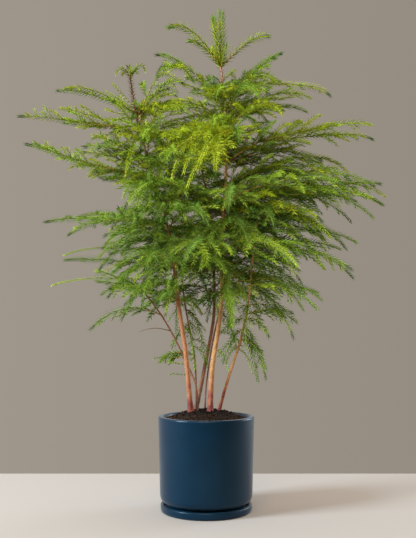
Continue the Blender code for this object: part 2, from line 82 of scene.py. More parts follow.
# Whorls, stem by stem: height, reach to the right, left and depth, rise of the tip for the same three, angle at
# which the branches leave the stem, and the groups of azimuths that fork from one stalk, each with the share of
# the way that a bough carries it.
WHORLS = rows_of((
    ("centre", (
        (824, (222, 158, 170), (20, 95, 30), 42, (((14,), 0.25), ((246, 300), 0), ((168, 104), 0))),
        (772, (170, 150, 190), (50, 40, 10), 38, (((338, 286), 0), ((216, 176), 0), ((62, 122), 0))),
        (692, (300, 150, 220), (70, 20, 20), 36, (((4, 338), 0.22), ((226, 190), 0), ((96, 56), 0))),
        (590, (318, 150, 250), (50, 30, 10), 30, (((22, 355), 0.22), ((270, 316), 0.2), ((80, 130), 0))),
        (500, (272, 150, 240), (0, 0, -30), 24, (((338, 8), 0.2), ((300, 252), 0))),
        (420, (225, 120, 180), (0, -20, -50), 20, (((4, 324, 274), 0),)))),
    ("left", (
        (790, (100, 165, 150), (95, 54, -10), 42, (((172, 226, 270), 0), ((25, 92), 0))),
        (735, (110, 245, 190), (50, 55, 20), 36, (((183, 150), 0.2), ((300, 248), 0), ((80,), 0))),
        (640, (130, 262, 230), (40, 110, 20), 30, (((176, 206), 0.2), ((282, 326), 0), ((112,), 0))),
        (550, (120, 248, 230), (20, 15, 0), 26, (((184, 152), 0.2), ((232, 290), 0))),
        (475, (120, 218, 200), (0, 26, -10), 24, (((176, 132), 0), ((258, 304), 0))),
        (410, (120, 262, 180), (-30, 20, -40), 22, (((188, 222, 258), 0),)))),
    ("back", (
        (590, (200, 210, 210), (20, 20, 20), 30, (((160,), 0), ((92, 44), 0))),
        (480, (220, 220, 190), (0, 0, 0), 24, (((118, 160, 70), 0),)))),
    ("right", (
        (381, (108, 80, 90), (-24, -20, -45), 24, (((342, 18), 0),)),
        (330, (58, 50, 60), (-55, -40, -40), 16, (((320,), 0),)))),
    ("low_left", ((379, (80, 138, 100), (0, -34, -30), 20, (((186,), 0),)),)),
    ("thin_left", ((300, (60, 66, 70), (-20, -6, -20), 22, (((170, 196), 0),)),)),
), 0, 1, 2)

# Leading shoots and top whorls: stem, and the reach, azimuth, rise and starting angle of each shoot, in mm and
# degrees. The last three of the centre stem are the scene's own.
LEADERS = (
    ("centre", (
        (3, 180, 122, 80), (98, 5, 66, 50), (108, 178, 83, 55), (26, 232, 92, 75), (70, 285, 60, 45),
        (75, 105, 70, 45), (16, 172, 107, 80), (64, 176, 62, 56), (4, 10, 114, 84))),
    ("left", ((16, 186, 4, 70), (16, 10, 10, 70))),
    ("right", ((150, 335, -30, 30), (120, 282, -20, 35), (60, 30, 60, 60))),
    ("back", ((20, 120, 70, 75), (140, 160, 30, 42), (150, 105, 20, 42), (140, 48, 30, 42))),
    ("low_left", ((92, 172, 40, 30), (80, 214, -10, 30), (70, 130, 20, 35))),
    ("thin_left", ((40, 150, 60, 60), (60, 240, 20, 40))),
    ("thin_right", ((160, 30, 0, 30), (150, 78, 10, 30), (120, 340, 20, 35))),
)

SEED = 7
STALK = 0.004  # how far out the limbs of a fork part
FORK_STEP = 0.0004
LIMB_RADIUS = 0.0026
SWAY = 0.05  # how far limbs bend sideways, against their reach
FORK_STEEPNESS = 0.55  # of a limb that forks off a bough, against one that leaves the stem
NOD = 0.07  # how far the tip of a limb hooks down, against its reach
# The limbs that the source swung aside to keep clear: mass, number of the limb, degrees
SWUNG = {("back_1a", 0): 6, ("thin_left_1a", 1): -6, ("low_left_top", 1): -6}

DEPTH = np.array((0.0, 1.0, 0.0))
UP = np.array((0.0, 0.0, 1.0))


def unit(vectors):
    return vectors / np.linalg.norm(vectors, axis=-1, keepdims=True)


def curve(stem, height):
    """(point, upward direction, radius) of a stem at a height: a smooth curve through its named points."""
    foot, tip, points = STEMS[stem]
    low, high = points[0][2], points[-1][2]
    k = max(i for i in range(len(points) - 1) if points[i][2] <= height)
    before, start, end, after = (np.array(points[min(max(i, 0), len(points) - 1)]) for i in range(k - 1, k + 3))
    span = end[2] - start[2]
    t = (height - start[2]) / span
    slope_in = (end - before) / (end[2] - before[2]) * span
    slope_out = (after - start) / (after[2] - start[2]) * span
    point = (
        start * (2 * t**3 - 3 * t**2 + 1)
        + slope_in * (t**3 - 2 * t**2 + t)
        + end * (3 * t**2 - 2 * t**3)
        + slope_out * (t**3 - t**2)
    )
    point[2] = height
    upward = unit(slope_in * (1 - t) + slope_out * t)
    radius = foot + (tip - foot) * (height - low) / (high - low)
    radius *= 1 + FLARE * math.exp(-(height - low) / FLARE_HEIGHT)
    return point, upward, radius


def ring_heights(stem):
    """Heights of the rings of the source's stem."""
    points = STEMS[stem][2]
    low, high = points[0][2] + GAP, points[-1][2]
    steps = math.ceil((high - low) / STEM_STEP)
    return [low, low + 0.006, low + 0.016] + [low + (high - low) * k / steps for k in range(1, steps + 1)]


def centreline(stem, height):
    """(point, upward direction, radius) at a height on the straight runs between the source's rings."""
    heights = ring_heights(stem)
    k = max(i for i in range(len(heights) - 1) if heights[i] <= height)
    start, end = curve(stem, heights[k]), curve(stem, heights[k + 1])
    t = (height - heights[k]) / (heights[k + 1] - heights[k])
    return start[0] + (end[0] - start[0]) * t, unit(end[0] - start[0]), start[2] + (end[2] - start[2]) * t


def stem_side(stem, height, azimuth, depth=-GAP):
    """(point, outward direction, upward direction) at a depth under a stem's skin."""
    centre, upward, radius = centreline(stem, height)
    outward = np.array((math.cos(azimuth), math.sin(azimuth), 0.0))
    outward = unit(outward - upward * outward.dot(upward))
    return centre + outward * (radius - depth), outward, upward


def blended(values, azimuth):
    """A right, left and depth value mixed by where the azimuth points."""
    right, left, depth = values
    side = math.cos(azimuth)
    return side**2 * (right if side > 0 else left) + (1 - side**2) * depth


class Shoot:
    """An axis start + run t + bend t² + wave sin(pi t) that nods at its tip, and the side that its frames keep to.
    A bundle of axes is one Shoot of stacked arrays, asked with one t for each axis."""

    def __init__(self, start, run, bend, wave, side, nod=0.0):
        self.start, self.run, self.bend, self.wave, self.side, self.nod = start, run, bend, wave, side, nod

    def rows(self, index):
        """The bundle's axes at the given numbers."""
        return Shoot(*(part[index] for part in vars(self).values()))

    def at(self, t):
        t = np.asarray(t, float)[..., None]
        nod = UP * np.asarray(self.nod)[..., None] * t**8
        return self.start + self.run * t + self.bend * t * t + self.wave * np.sin(np.pi * t) - nod

    def frame(self, t):
        """(direction, side, over) at t."""
        t = np.asarray(t, float)[..., None]
        nod = UP * np.asarray(self.nod)[..., None] * 8 * t**7
        along = unit(self.run + 2 * self.bend * t + np.pi * self.wave * np.cos(np.pi * t) - nod)
        side = unit(self.side - along * (along * self.side).sum(-1, keepdims=True))
        return along, side, np.cross(along, side)

    def length(self):
        marks = self.at(np.linspace(0, 1, 9))
        return float(np.linalg.norm(np.diff(marks, axis=0), axis=1).sum())


def bundle_of(shoots):
    return Shoot(*(np.stack(parts) for parts in zip(*(vars(shoot).values() for shoot in shoots))))


def limb_from(start, azimuth, reach, rise, angle, sway):
    """The source's limb: it leaves its start at an angle and arches to its tip, swaying a little sideways."""
    outward = np.array((math.cos(azimuth), math.sin(azimuth), 0.0))
    sideways = np.array((-math.sin(azimuth), math.cos(azimuth), 0.0))
    climb = math.tan(angle) * reach
    nod = NOD * reach * (0.35 if start[0] < -0.05 and outward[0] < -0.5 else 1)
    return Shoot(start, outward * reach + UP * climb, -UP * (climb - rise), sideways * sway * reach, sideways, nod)


def limb_between(start, tip, degrees, sway, swing=0):
    flat = tip - start
    azimuth = math.atan2(flat[1], flat[0]) + math.radians(swing)
    return limb_from(start, azimuth, math.hypot(flat[0], flat[1]), flat[2], math.radians(degrees), sway)


def part_of(limb, share):
    return Shoot(limb.start, limb.run * share, limb.bend * share**2, limb.wave * share, limb.side, limb.nod * share**8)


def tip_of(limb):
    return limb.start + limb.run + limb.bend


def mean_azimuth(azimuths):
    return math.atan2(sum(math.sin(a) for a in azimuths), sum(math.cos(a) for a in azimuths))


# ---------------------------------------------------------------- what grows on: the same limbs, finer twigs

# Lighter whorls between the source's, within its reach: the same columns, and azimuths alone
BETWEEN = rows_of((
    ("centre", (
        (796, (120, 110, 120), (20, 20, 0), 44, (42, 98, 252, 322)),
        (735, (165, 120, 150), (22, 30, 25), 36, (18, 88, 150, 262, 312)),
        (642, (200, 120, 160), (10, 0, -15), 40, (352, 48, 118, 208)),
        (545, (205, 120, 170), (-10, -15, -40), 34, (12, 62, 150, 232, 284, 334)),
        (460, (165, 110, 150), (-40, -40, -60), 28, (350, 36, 100, 236)))),
    ("left", (
        (690, (130, 130, 150), (40, 30, 10), 44, (10, 62, 118, 214, 272, 326)),
        (598, (140, 150, 160), (10, 0, -15), 34, (342, 38, 100, 252, 292)),
        (512, (140, 150, 160), (-10, 0, -40), 34, (354, 50, 112, 172, 214, 272, 318)),
        (442, (120, 130, 140), (-35, -25, -50), 30, (96, 162, 240)))),
    ("back", (
        (665, (110, 120, 120), (50, 50, 50), 50, (20, 92, 168, 250)),
        (535, (160, 160, 170), (10, 10, 10), 40, (0, 62, 128, 196, 290)),
        (430, (120, 120, 130), (-10, -20, -5), 34, (30, 100, 190)))),
    ("right", ((455, (90, 60, 80), (-20, -30, -30), 36, (0, 70)),)),
), 0, 1, 2)
# Single branches that the photograph shows, in the order of their random draws: height, azimuth, reach, rise, angle,
# how much lighter, and how long the side shoots are against the rule
SINGLES = rows_of((
    ("centre", (
        (819, 200, 80, 44, 36, -0.2, 0.5), (800, 178, 142, 128, 55, -0.2, 0.8), (810, 232, 73, 24, 34, -0.5, 0.4),
        (818, 343, 118, 95, 46, -0.8, 0.5), (824, 338, 108, 78, 44, -1.0, 0.6), (818, 323, 107, 60, 38, -1.2, 0.7),
        (812, 352, 112, 50, 32, -1.4, 0.7), (783, 6, 168, 30, 24, -1.2, 0.8), (717, 7, 201, -15, 12, -0.4, 0.8),
        (613, 16, 273, 94, 44, -0.2, 0.9), (634, 3, 305, 32, 22, 0.3, 1.0), (622, 358, 320, 20, 18, 0.0, 1.1),
        (612, 4, 320, 20, 16, 0.3, 0.9), (600, 352, 312, 18, 18, -0.2, 0.8), (690, 356, 190, 14, 22, -0.8, 0.9),
        (678, 344, 150, -12, 20, -1.0, 0.9), (603, 352, 293, -11, 24, -0.2, 0.7), (583, 348, 241, -57, 20, -0.3, 0.9),
        # painted light in part: the lime sprays in front, of lightness 2.2 and up, are made lighter for the light that
        # falls on them
        (589, 331, 209, -20, 14, 2.2, 1.0), (762, 232, 170, -120, 18, 3.3, 0.7), (755, 240, 165, -104, 10, 3.3, 0.8),
        (742, 249, 176, -108, 10, 3.6, 0.8), (735, 262, 170, -100, 8, 3.0, 0.8), (722, 242, 160, -95, 12, 3.4, 0.8),
        (648, 348, 250, 12, 24, 0.5, 1.0), (612, 12, 270, -15, 26, 0.0, 1.0), (540, 350, 262, 0, 8, 0.2, 0.8),
        (530, 353, 256, -58, 10, 0.0, 0.8), (540, 331, 168, -90, 8, 0.0, 0.9))),
    ("right", ((372, 324, 54, -30, 20, 0.2, 0.8),)),
    ("centre", ((575, 300, 120, -60, 12, 0.9, 1.0), (476, 281, 85, -105, 4, 1.2, 0.5))),
    ("left", (
        (779, 340, 122, 72, 69, 0.4, 1.1), (781, 3, 93, 80, 62, 0.8, 1.0), (768, 41, 86, 50, 58, -0.9, 0.8),
        (546, 201, 130, -33, 34, 0.2, 1.0), (520, 186, 139, -47, 30, 0.0, 1.0), (486, 195, 128, -69, 24, 0.2, 1.0),
        (460, 203, 107, -86, 14, 0.1, 0.9), (510, 247, 124, -108, 18, 0.5, 1.0), (450, 255, 64, -70, 2, 0.2, 0.6),
        (560, 222, 130, -14, 42, 0.7, 1.0), (601, 241, 111, -75, 34, 0.5, 1.0))),
    ("centre", ((552, 255, 167, -82, 20, 0.6, 0.7), (487, 275, 119, -114, 6, 0.8, 0.7))),
    ("left", (
        (741, 319, 111, 46, 45, 1.0, 1.1), (779, 207, 54, -13, 5, -0.5, 0.3), (760, 217, 55, -11, 4, 0.0, 0.35),
        (677, 185, 113, 67, 40, 0.2, 0.45), (668, 197, 135, 45, 40, 0.2, 0.45), (730, 255, 96, -82, 20, 0.7, 1.0),
        (693, 277, 112, -101, 20, 0.6, 1.0), (742, 300, 80, -10, 28, 0.4, 1.0), (780, 20, 64, 72, 62, -0.2, 0.9),
        (776, 350, 80, 52, 54, 0.0, 0.8), (768, 350, 74, 36, 44, 0.0, 0.7))),
    ("centre", ((808, 196, 72, 26, 28, 0.0, 0.6),)),
    ("left", (
        (628, 190, 112, 28, 18, 0.0, 0.9), (548, 192, 125, -10, 12, 0.0, 0.7), (505, 190, 120, -2, 12, 0.0, 0.8),
        (440, 200, 105, -22, 12, 0.0, 0.8), (640, 182, 100, 14, 14, 0.2, 0.6))),
    ("centre", ((556, 345, 204, -16, 12, 0.1, 0.9), (440, 339, 200, -18, 14, -0.2, 0.8))),
    ("right", ((400, 345, 75, -20, 16, 0.0, 0.8),)),
    ("centre", ((430, 290, 60, -85, 0, 0.6, 0.6),)),
    ("left", (
        (690, 190, 105, 8, 28, 0.1, 0.8), (672, 184, 135, 38, 24, 0.2, 0.8), (748, 170, 172, 66, 24, 0.2, 0.4),
        (655, 187, 112, 14, 18, 0.0, 0.9))),
    ("right", ((372, 200, 50, -22, 10, 0.0, 0.8),)),
    ("left", (
        (676, 288, 95, -45, 20, 0.3, 1.0), (655, 332, 105, -40, 22, 0.6, 1.0), (634, 252, 100, -55, 18, 0.4, 1.0),
        (612, 300, 120, -60, 16, 0.8, 1.0), (560, 262, 115, -55, 14, 0.5, 1.0), (520, 310, 120, -50, 14, 0.4, 1.0))),
    ("back", ((400, 330, 50, -85, -10, -0.6, 0.5),)),
    ("thin_left", (
        (392, 322, 56, -110, -8, -0.4, 0.5), (372, 300, 30, -95, -20, -0.5, 0.5), (360, 200, 36, -40, 10, -0.4, 0.3))),
    ("right", (
        (432, 352, 85, -90, 5, 0.2, 1.0), (355, 340, 45, -95, -10, 0.3, 0.5), (345, 318, 38, -90, -15, 0.0, 0.4),
        (400, 262, 55, -80, 0, 0.2, 0.6), (352, 205, 45, -60, -5, -0.2, 0.6))),
), 0, 2, 3)
# Slim shoots with no side shoots: height, azimuth, reach, rise, angle, how much lighter, length of a needle. The
# last one is the bare dry twig.
SLIM = rows_of((
    ("low_left", (
        (306, 176, 38, -8, 12, 0.4, 0.0055), (296, 182, 60, 2, 4, 0.6, 0.0048), (284, 190, 34, 6, 0, 0.2, 0.005),
        (262, 178, 44, 4, 4, 0.6, 0.0042))),
    ("thin_left", (
        (330, 20, 36, -22, 24, -0.6, 0.008), (318, 330, 30, -30, 10, -0.6, 0.008),
        (345, 190, 34, -18, 24, -0.4, 0.007), (352, 240, 30, -8, 20, -0.2, 0.007))),
    ("centre", ((345, 10, 46, -24, 22, -0.6, 0.008), (312, 330, 26, -36, 5, -0.5, 0.007))),
    ("right", (
        (330, 196, 44, -30, 10, 0.0, 0.0075), (318, 220, 30, -28, 0, 0.0, 0.007), (312, 350, 30, -46, 12, 0.0, 0.007),
        (330, 30, 40, -20, 20, -0.4, 0.0075))),
    ("centre", ((862, 350, 24, 20, 40, -0.9, 0.0105), (852, 200, 22, 16, 40, -0.9, 0.01))),
    ("left", (
        (866, 190, 28, 8, 68, -1.6, 0.0095), (866, 352, 32, 14, 70, -1.0, 0.0095),
        (866, 270, 18, 14, 72, -1.8, 0.0095), (866, 90, 18, 12, 72, -1.6, 0.0095),
        (866, 20, 12, 22, 72, -1.4, 0.0095), (800, 168, 62, 42, 34, 0.4, 0.007), (806, 176, 44, 48, 44, 0.4, 0.007),
        (500, 170, 225, 9, 16, 0.4, 0.006), (440, 176, 248, 6, 12, 0.2, 0.006), (788, 174, 148, 64, 38, -0.6, 0.0135))),
    ("low_left", ((350, 180, 62, -2, -6, 0.0, 0.0),)),
), 0, 2, 3)

# How long the side shoots of a group are, against the rule, and how much lighter its green is
FULLNESS = {
    "centre_1a": 0.36, "centre_1b": 0.6, "centre_1c": 0.6, "centre_2b": 0.75, "centre_6a": 0.6, "left_1a": 0.22,
    "left_1b": 0.5, "left_2a": 0.7, "left_3a": 0.8, "left_4a": 0.6, "left_5a": 0.45, "left_6a": 0.5,
    "low_left_1a": 0.6, "right_1a": 0.7,
}
# painted shade: the groups at the back are darker; painted light in part: centre_3b, a lime spray in front, is lighter
LIGHTNESS = {
    "back_1a": -0.6, "back_1b": -0.6, "back_2a": -0.6, "back_top": -0.4, "centre_1b": -0.8, "centre_2a": -0.8,
    "centre_2b": 0.7, "centre_3a": 0.3, "centre_3b": 1.9, "centre_5b": 0.6, "centre_6a": 0.3,
    "centre_top": -0.9, "left_4b": -0.7, "left_6a": -0.4, "left_top": -1.6,
}
LIME_FROM = 1.5  # how much lighter the lime green sprays are at least
# Limbs left out: one would hang in front of the bare leading shoot, and one that fills a whorl in open sky
SKIPPED = {("left_1a", 2), ("left_5f", 0)}
# Limbs cut short where they would cross open sky, and one drawn longer: share of their length
SHORTENED = {
    ("centre_1a", 0): 1.07, ("centre_1b", 0): 0.5, ("centre_1c", 0): 0.55, ("centre_2b", 0): 0.85,
    ("centre_2b", 1): 0.7, ("centre_4a", 1): 0.97, ("centre_5a", 0): 0.95, ("centre_5a", 1): 0.86,
    ("centre_6a", 0): 0.85, ("centre_top", 4): 0.5, ("left_1a", 1): 0.45, ("left_2a", 1): 0.85, ("left_2b", 1): 0.6,
    ("left_3a", 0): 0.92, ("left_4a", 0): 0.95, ("left_6a", 0): 0.6, ("left_6a", 1): 0.7, ("left_6a", 2): 0.75,
    ("right_1a", 0): 0.85,
}
# Limbs whose line the photograph shows: how far their tip is below the source's, in mm, and the angle at the start
BENT = {
    ("centre_1a", 0): (-22, 2), ("centre_1b", 0): (30, 20), ("centre_1b", 1): (34, 20), ("centre_1c", 0): (30, 25),
    ("centre_2b", 0): (14, 30), ("centre_3a", 0): (0.5, 7), ("centre_3a", 1): (0.5, 7), ("centre_4a", 0): (-14, 10),
    ("centre_4a", 1): (-16, 8), ("centre_4b", 0): (36, 12), ("centre_5a", 0): (26, 0), ("centre_5a", 1): (-14, 14),
    ("centre_6a", 1): (0, 22), ("centre_top", 0): (4, 80), ("centre_top", 1): (-9, 52), ("centre_top", 2): (-10, 60),
    ("left_1a", 0): (-6, 30), ("left_1a", 1): (20, 20), ("left_1b", 0): (36, 30), ("left_2a", 0): (4, 8),
    ("left_2a", 1): (-26, 14), ("left_3a", 0): (3, 3), ("left_3a", 1): (30, 4), ("left_4a", 0): (-2, 6),
    ("left_4b", 0): (4, 10), ("left_5a", 0): (4, 8), ("left_6a", 0): (-10, 22), ("low_left_1a", 0): (-12, 30),
    ("right_1a", 0): (-26, 22), ("right_1a", 1): (-20, 22),
}
FILL_GAP = 54  # degrees of a whorl left open before another limb fills it
FILL_STEMS = ("centre", "left", "back")
UNFILLED = ("left_1", "centre_1")
LOW_WHORLS = 0.43  # below this height the limbs that fill a whorl are short, and only at the back
ROOTED = 0.0022  # how deep a limb starts under the stem's skin
TOP_NEEDLES = {"centre": 0.0172, "left": 0.0085}  # needles of the leading shoots that carry no side shoots
PIECES = {  # of the foliage, and how the labels of their branches begin
    "centre_top": ("centre_1", "centre_top"),
    "centre_high": ("centre_2", "centre_3"),
    "centre_mid": ("centre_4",),
    "centre_low": ("centre_5", "centre_6"),
    "left_high": ("left_1", "left_2", "left_top"),
    "left_mid": ("left_3", "left_4"),
    "left_low": ("left_5", "left_6"),
    "back": ("back",),
    "small_stems": ("right", "low_left", "thin_left", "thin_right"),
}


def piece_of(label):
    """The piece of foliage that a branch with this label belongs to."""
    return next(piece for piece, starts in PIECES.items() if label.startswith(starts))


class Branch:
    """A limb with what grows on it: its thickness against a main limb's, how much lighter its green is, which span of
    a whole branch it is, how long its side shoots are, the needle length of a brush with no side shoots, and whether
    it is bare."""

    def __init__(self, label, shoot, thick, light=0.0, span=(0, 1), full=1.0, needle=0.0, bare=False):
        self.label, self.shoot, self.thick = label, shoot, LIMB_RADIUS * thick
        self.light = light + LIGHTNESS.get(label, 0)
        self.full = full * FULLNESS.get(label, 1)
        self.span, self.needle, self.bare = span, needle, bare


def level_of(stem, height):
    """The number of the stem's whorl that stands nearest to a height."""
    levels = [h for s, h, *_ in WHORLS if s == stem]
    if not levels:
        return "top"
    return min(range(len(levels)), key=lambda k: abs(levels[k] - height)) + 1


def shown_limb(label, k, fork, start, tip, angle, sway):
    """The source's limb from its fork, led to the same tip from a start of its own, then bent and cut as listed."""
    limb = limb_between(fork, tip, angle, sway, SWUNG.get((label, k), 0))
    lower, angle = BENT.get((label, k), (0, angle))
    limb = limb_between(start, tip_of(limb) - UP * (lower / 1000), angle, sway)
    return part_of(limb, SHORTENED.get((label, k), 1))


def limb_off(stem, height, azimuth, reach, rise, degrees, sway, depth=ROOTED):
    """A limb that starts at a depth under a stem's skin."""
    return limb_from(stem_side(stem, height, azimuth, depth)[0], azimuth, reach, rise, math.radians(degrees), sway)


def whorl_branches(extra):
    """(branches, boughs) of the whorls: the source's limbs, each rooted at its own side, and those between them."""
    branches, boughs, counts = [], [], {}
    chance = random.Random(SEED)
    for stem, height, reaches, rises, angle, groups in WHORLS:
        counts[stem] = counts.get(stem, 0) + 1
        whorl = f"{stem}_{counts[stem]}"
        used = []
        for letter, (degrees, bough_share) in zip("abc", groups):
            label = whorl + letter
            azimuths = [math.radians(d) for d in degrees]
            used += [d % 360 for d in degrees]
            middle = mean_azimuth(azimuths)
            skin, outward, _ = stem_side(stem, height, middle)
            root = skin
            if bough_share:
                bough = limb_from(
                    skin, middle, blended(reaches, middle), blended(rises, middle), math.radians(angle), 0)
                boughs.append((label, bough, bough_share))
                outward = bough.frame(bough_share)[0]
                root = bough.at(bough_share) + outward * GAP
            for k, azimuth in enumerate(azimuths):
                tip = skin + np.array((math.cos(azimuth), math.sin(azimuth), 0.0)) * blended(reaches, azimuth)
                tip[2] = skin[2] + blended(rises, azimuth)
                fork = root + outward * (STALK - FORK_STEP * k)
                start = root - outward * STALK if bough_share else stem_side(stem, height, azimuth, ROOTED)[0]
                steep = angle * (FORK_STEEPNESS if bough_share else 1)
                sway = SWAY * chance.uniform(-1, 1)
                if (label, k) not in SKIPPED:
                    limb = shown_limb(label, k, fork, start, tip, steep, sway)
                    branches.append(Branch(label, limb, 1, span=(bough_share, 1)))
            if bough_share:
                branches.append(Branch(label, part_of(bough, bough_share), 0, span=(0.02, bough_share)))
        if stem in FILL_STEMS and whorl not in UNFILLED:
            label = whorl + "f"
            low = height < LOW_WHORLS
            used.sort()
            for a, b in zip(used, used[1:] + [used[0] + 360]):
                more = round((b - a) / FILL_GAP) - 1
                for k in range(more):
                    azimuth = math.radians(a + (b - a) * (k + 1) / (more + 1) + extra.uniform(-7, 7))
                    level = height + extra.uniform(-0.006, 0.006)
                    reach = blended(reaches, azimuth) * extra.uniform(0.72, 0.92) * (0.8 if low else 1)
                    rise = blended(rises, azimuth) + extra.uniform(-0.03, 0.01) + (0.03 if low else 0)
                    limb = limb_off(stem, level, azimuth, reach, rise, angle, SWAY * extra.uniform(-1, 1))
                    if not (low and math.sin(azimuth) < 0.5) and (label, k) not in SKIPPED:
                        branches.append(Branch(label, limb, 0.8))
    return branches, boughs


def lighter_branches(extra):
    """The branches between the whorls, the single ones, the slim shoots and the dead twig."""
    branches = []
    for stem, height, reaches, rises, angle, degrees in BETWEEN:
        label = f"{stem}_{level_of(stem, height)}g"
        for azimuth in degrees:
            azimuth = math.radians(azimuth + extra.uniform(-9, 9))
            level = height + extra.uniform(-0.014, 0.014)
            reach = blended(reaches, azimuth) * extra.uniform(0.8, 1.12)
            rise = blended(rises, azimuth) + extra.uniform(-0.025, 0.020)
            tilt = angle + extra.uniform(-7, 7)
            limb = limb_off(stem, level, azimuth, reach, rise, tilt, SWAY * extra.uniform(-1.4, 1.4))
            branches.append(Branch(label, limb, 0.7))
    for stem, height, azimuth, reach, rise, angle, light, full in SINGLES:
        limb = limb_off(stem, height, math.radians(azimuth), reach, rise, angle, SWAY * extra.uniform(-1, 1))
        branches.append(Branch(f"{stem}_{level_of(stem, height)}s", limb, 0.6, light, full=full))
    for stem, height, azimuth, reach, rise, angle, light, needle in SLIM:
        sway = SWAY * extra.uniform(-1, 1)
        limb = limb_off(stem, height, math.radians(azimuth), reach, rise, angle, sway, depth=0.001)
        bare = needle == 0
        if bare:
            limb.wave = limb.wave + UP * 0.007
        label = f"{stem}_{level_of(stem, height)}s"
        branches.append(Branch(label, limb, 0.7 if bare else 0.4, light, needle=needle, bare=bare))
    return branches


def leading_branches():
    """The leading shoot and the top whorl of each stem."""
    branches = []
    for stem, shoots in LEADERS:
        label = stem + "_top"
        top, upward, _ = centreline(stem, STEMS[stem][2][-1][2])
        for k, (reach, degrees, rise, angle) in enumerate(shoots):
            azimuth, reach, rise = math.radians(degrees), reach / 1000, rise / 1000
            tip = top + np.array((math.cos(azimuth) * reach, math.sin(azimuth) * reach, rise))
            fork = top + upward * (STALK - FORK_STEP * k)
            limb = shown_limb(label, k, fork, top - upward * 0.001, tip, angle, 0)
            thick = 1.05 if stem == "centre" else 0.75
            branches.append(Branch(label, limb, thick, needle=TOP_NEEDLES.get(stem, 0)))
    return branches


def plan_branches():
    """(branches, boughs) of the whole clump."""
    extra = random.Random(SEED + 2)
    branches, boughs = whorl_branches(extra)
    return branches + lighter_branches(extra) + leading_branches(), boughs


# ---------------------------------------------------------------- meshes

MOST_TRIANGLES = 200_000


def placed(name, data):
    made = bpy.data.objects.new(name, data)
    bpy.context.scene.collection.objects.link(made)
    return made


def mesh_piece(name, verts, tris, finishes, kinds=None, smooth=False):
    mesh = bpy.data.meshes.new(name)
    mesh.vertices.add(len(verts))
    mesh.vertices.foreach_set("co", np.asarray(verts, np.float32).ravel())
    mesh.loops.add(tris.size)
    mesh.loops.foreach_set("vertex_index", tris.astype(np.int32).ravel())
    mesh.polygons.add(len(tris))
    mesh.polygons.foreach_set("loop_start", np.arange(0, tris.size, 3, dtype=np.int32))
    for finish in finishes:
        mesh.materials.append(finish)
    if kinds is not None:
        mesh.polygons.foreach_set("material_index", kinds.astype(np.int32))
    mesh.polygons.foreach_set("use_smooth", np.full(len(tris), smooth))
    mesh.update(calc_edges=True)
    mesh.validate()
    return placed(name, mesh)


def ride_as(obj, nodes):
    count = len(obj.data.polygons)
    assert count < MOST_TRIANGLES, f"{obj.name} has {count} triangles"
    print("piece", obj.name, count)
    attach(obj, "root")
    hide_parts(*nodes)


def needle_solids(root, along, outward, size, lean, width):
    """Four-faced needles: a keel from root to tip and two shoulders on the outer side, so that each curves inward."""
    size, lean, width = size[:, None], lean[:, None], width[:, None]
    heading = along * np.cos(lean) + outward * np.sin(lean)
    away = outward * np.cos(lean) - along * np.sin(lean)
    across = np.cross(heading, away)
    shoulder = root + heading * size * NEEDLE_SHOULDER + away * size * NEEDLE_BOW
    tip = root + heading * size - away * size * NEEDLE_HOOK
    verts = np.stack((root, shoulder + across * width / 2, shoulder - across * width / 2, tip), axis=1)
    faces = np.array(((2, 1, 3), (0, 1, 2), (0, 3, 1), (0, 2, 3)))
    tris = faces[None] + 4 * np.arange(len(root))[:, None, None]
    return verts.reshape(-1, 3), tris.reshape(-1, 3)


def tube_faces(rings, sides):
    """Triangles of a closed tube whose vertices are its rings in turn and then the middle of each end."""
    a = np.arange(sides)
    b = (a + 1) % sides
    faces = []
    for low in range(0, (rings - 1) * sides, sides):
        high = low + sides
        faces += list(zip(a + low, b + low, b + high)) + list(zip(a + low, b + high, a + high))
    first, last = rings * sides, rings * sides + 1
    top = (rings - 1) * sides
    faces += [(first, y, x) for x, y in zip(a, b)] + [(last, x + top, y + top) for x, y in zip(a, b)]
    return np.array(faces)


def tube_solids(centres, sideways, over, radii, sides):
    """(vertices, triangles, triangles of one tube) of closed tubes that all have the same number of rings. centres is
    (tubes, rings, 3), and radii is (tubes, rings) or has one more axis, for each side of its own."""
    tubes, rings, _ = centres.shape
    turns = np.arange(sides) * math.tau / sides
    radial = sideways[:, :, None] * np.cos(turns)[:, None] + over[:, :, None] * np.sin(turns)[:, None]
    if radii.ndim == 2:
        radii = radii[..., None]
    skin = centres[:, :, None] + radial * radii[..., None]
    ends = np.stack((centres[:, 0], centres[:, -1]), axis=1)
    verts = np.concatenate((skin.reshape(tubes, -1, 3), ends), axis=1)
    faces = tube_faces(rings, sides)
    tris = faces[None] + verts.shape[1] * np.arange(tubes)[:, None, None]
    return verts.reshape(-1, 3), tris.reshape(-1, 3), len(faces)


def merged(parts):
    """One (vertices, triangles, kinds) from several."""
    verts, tris, kinds, count = [], [], [], 0
    for part_verts, part_tris, part_kinds in parts:
        verts.append(part_verts)
        tris.append(part_tris + count)
        kinds.append(part_kinds)
        count += len(part_verts)
    return np.concatenate(verts), np.concatenate(tris), np.concatenate(kinds)


# ---------------------------------------------------------------- finishes

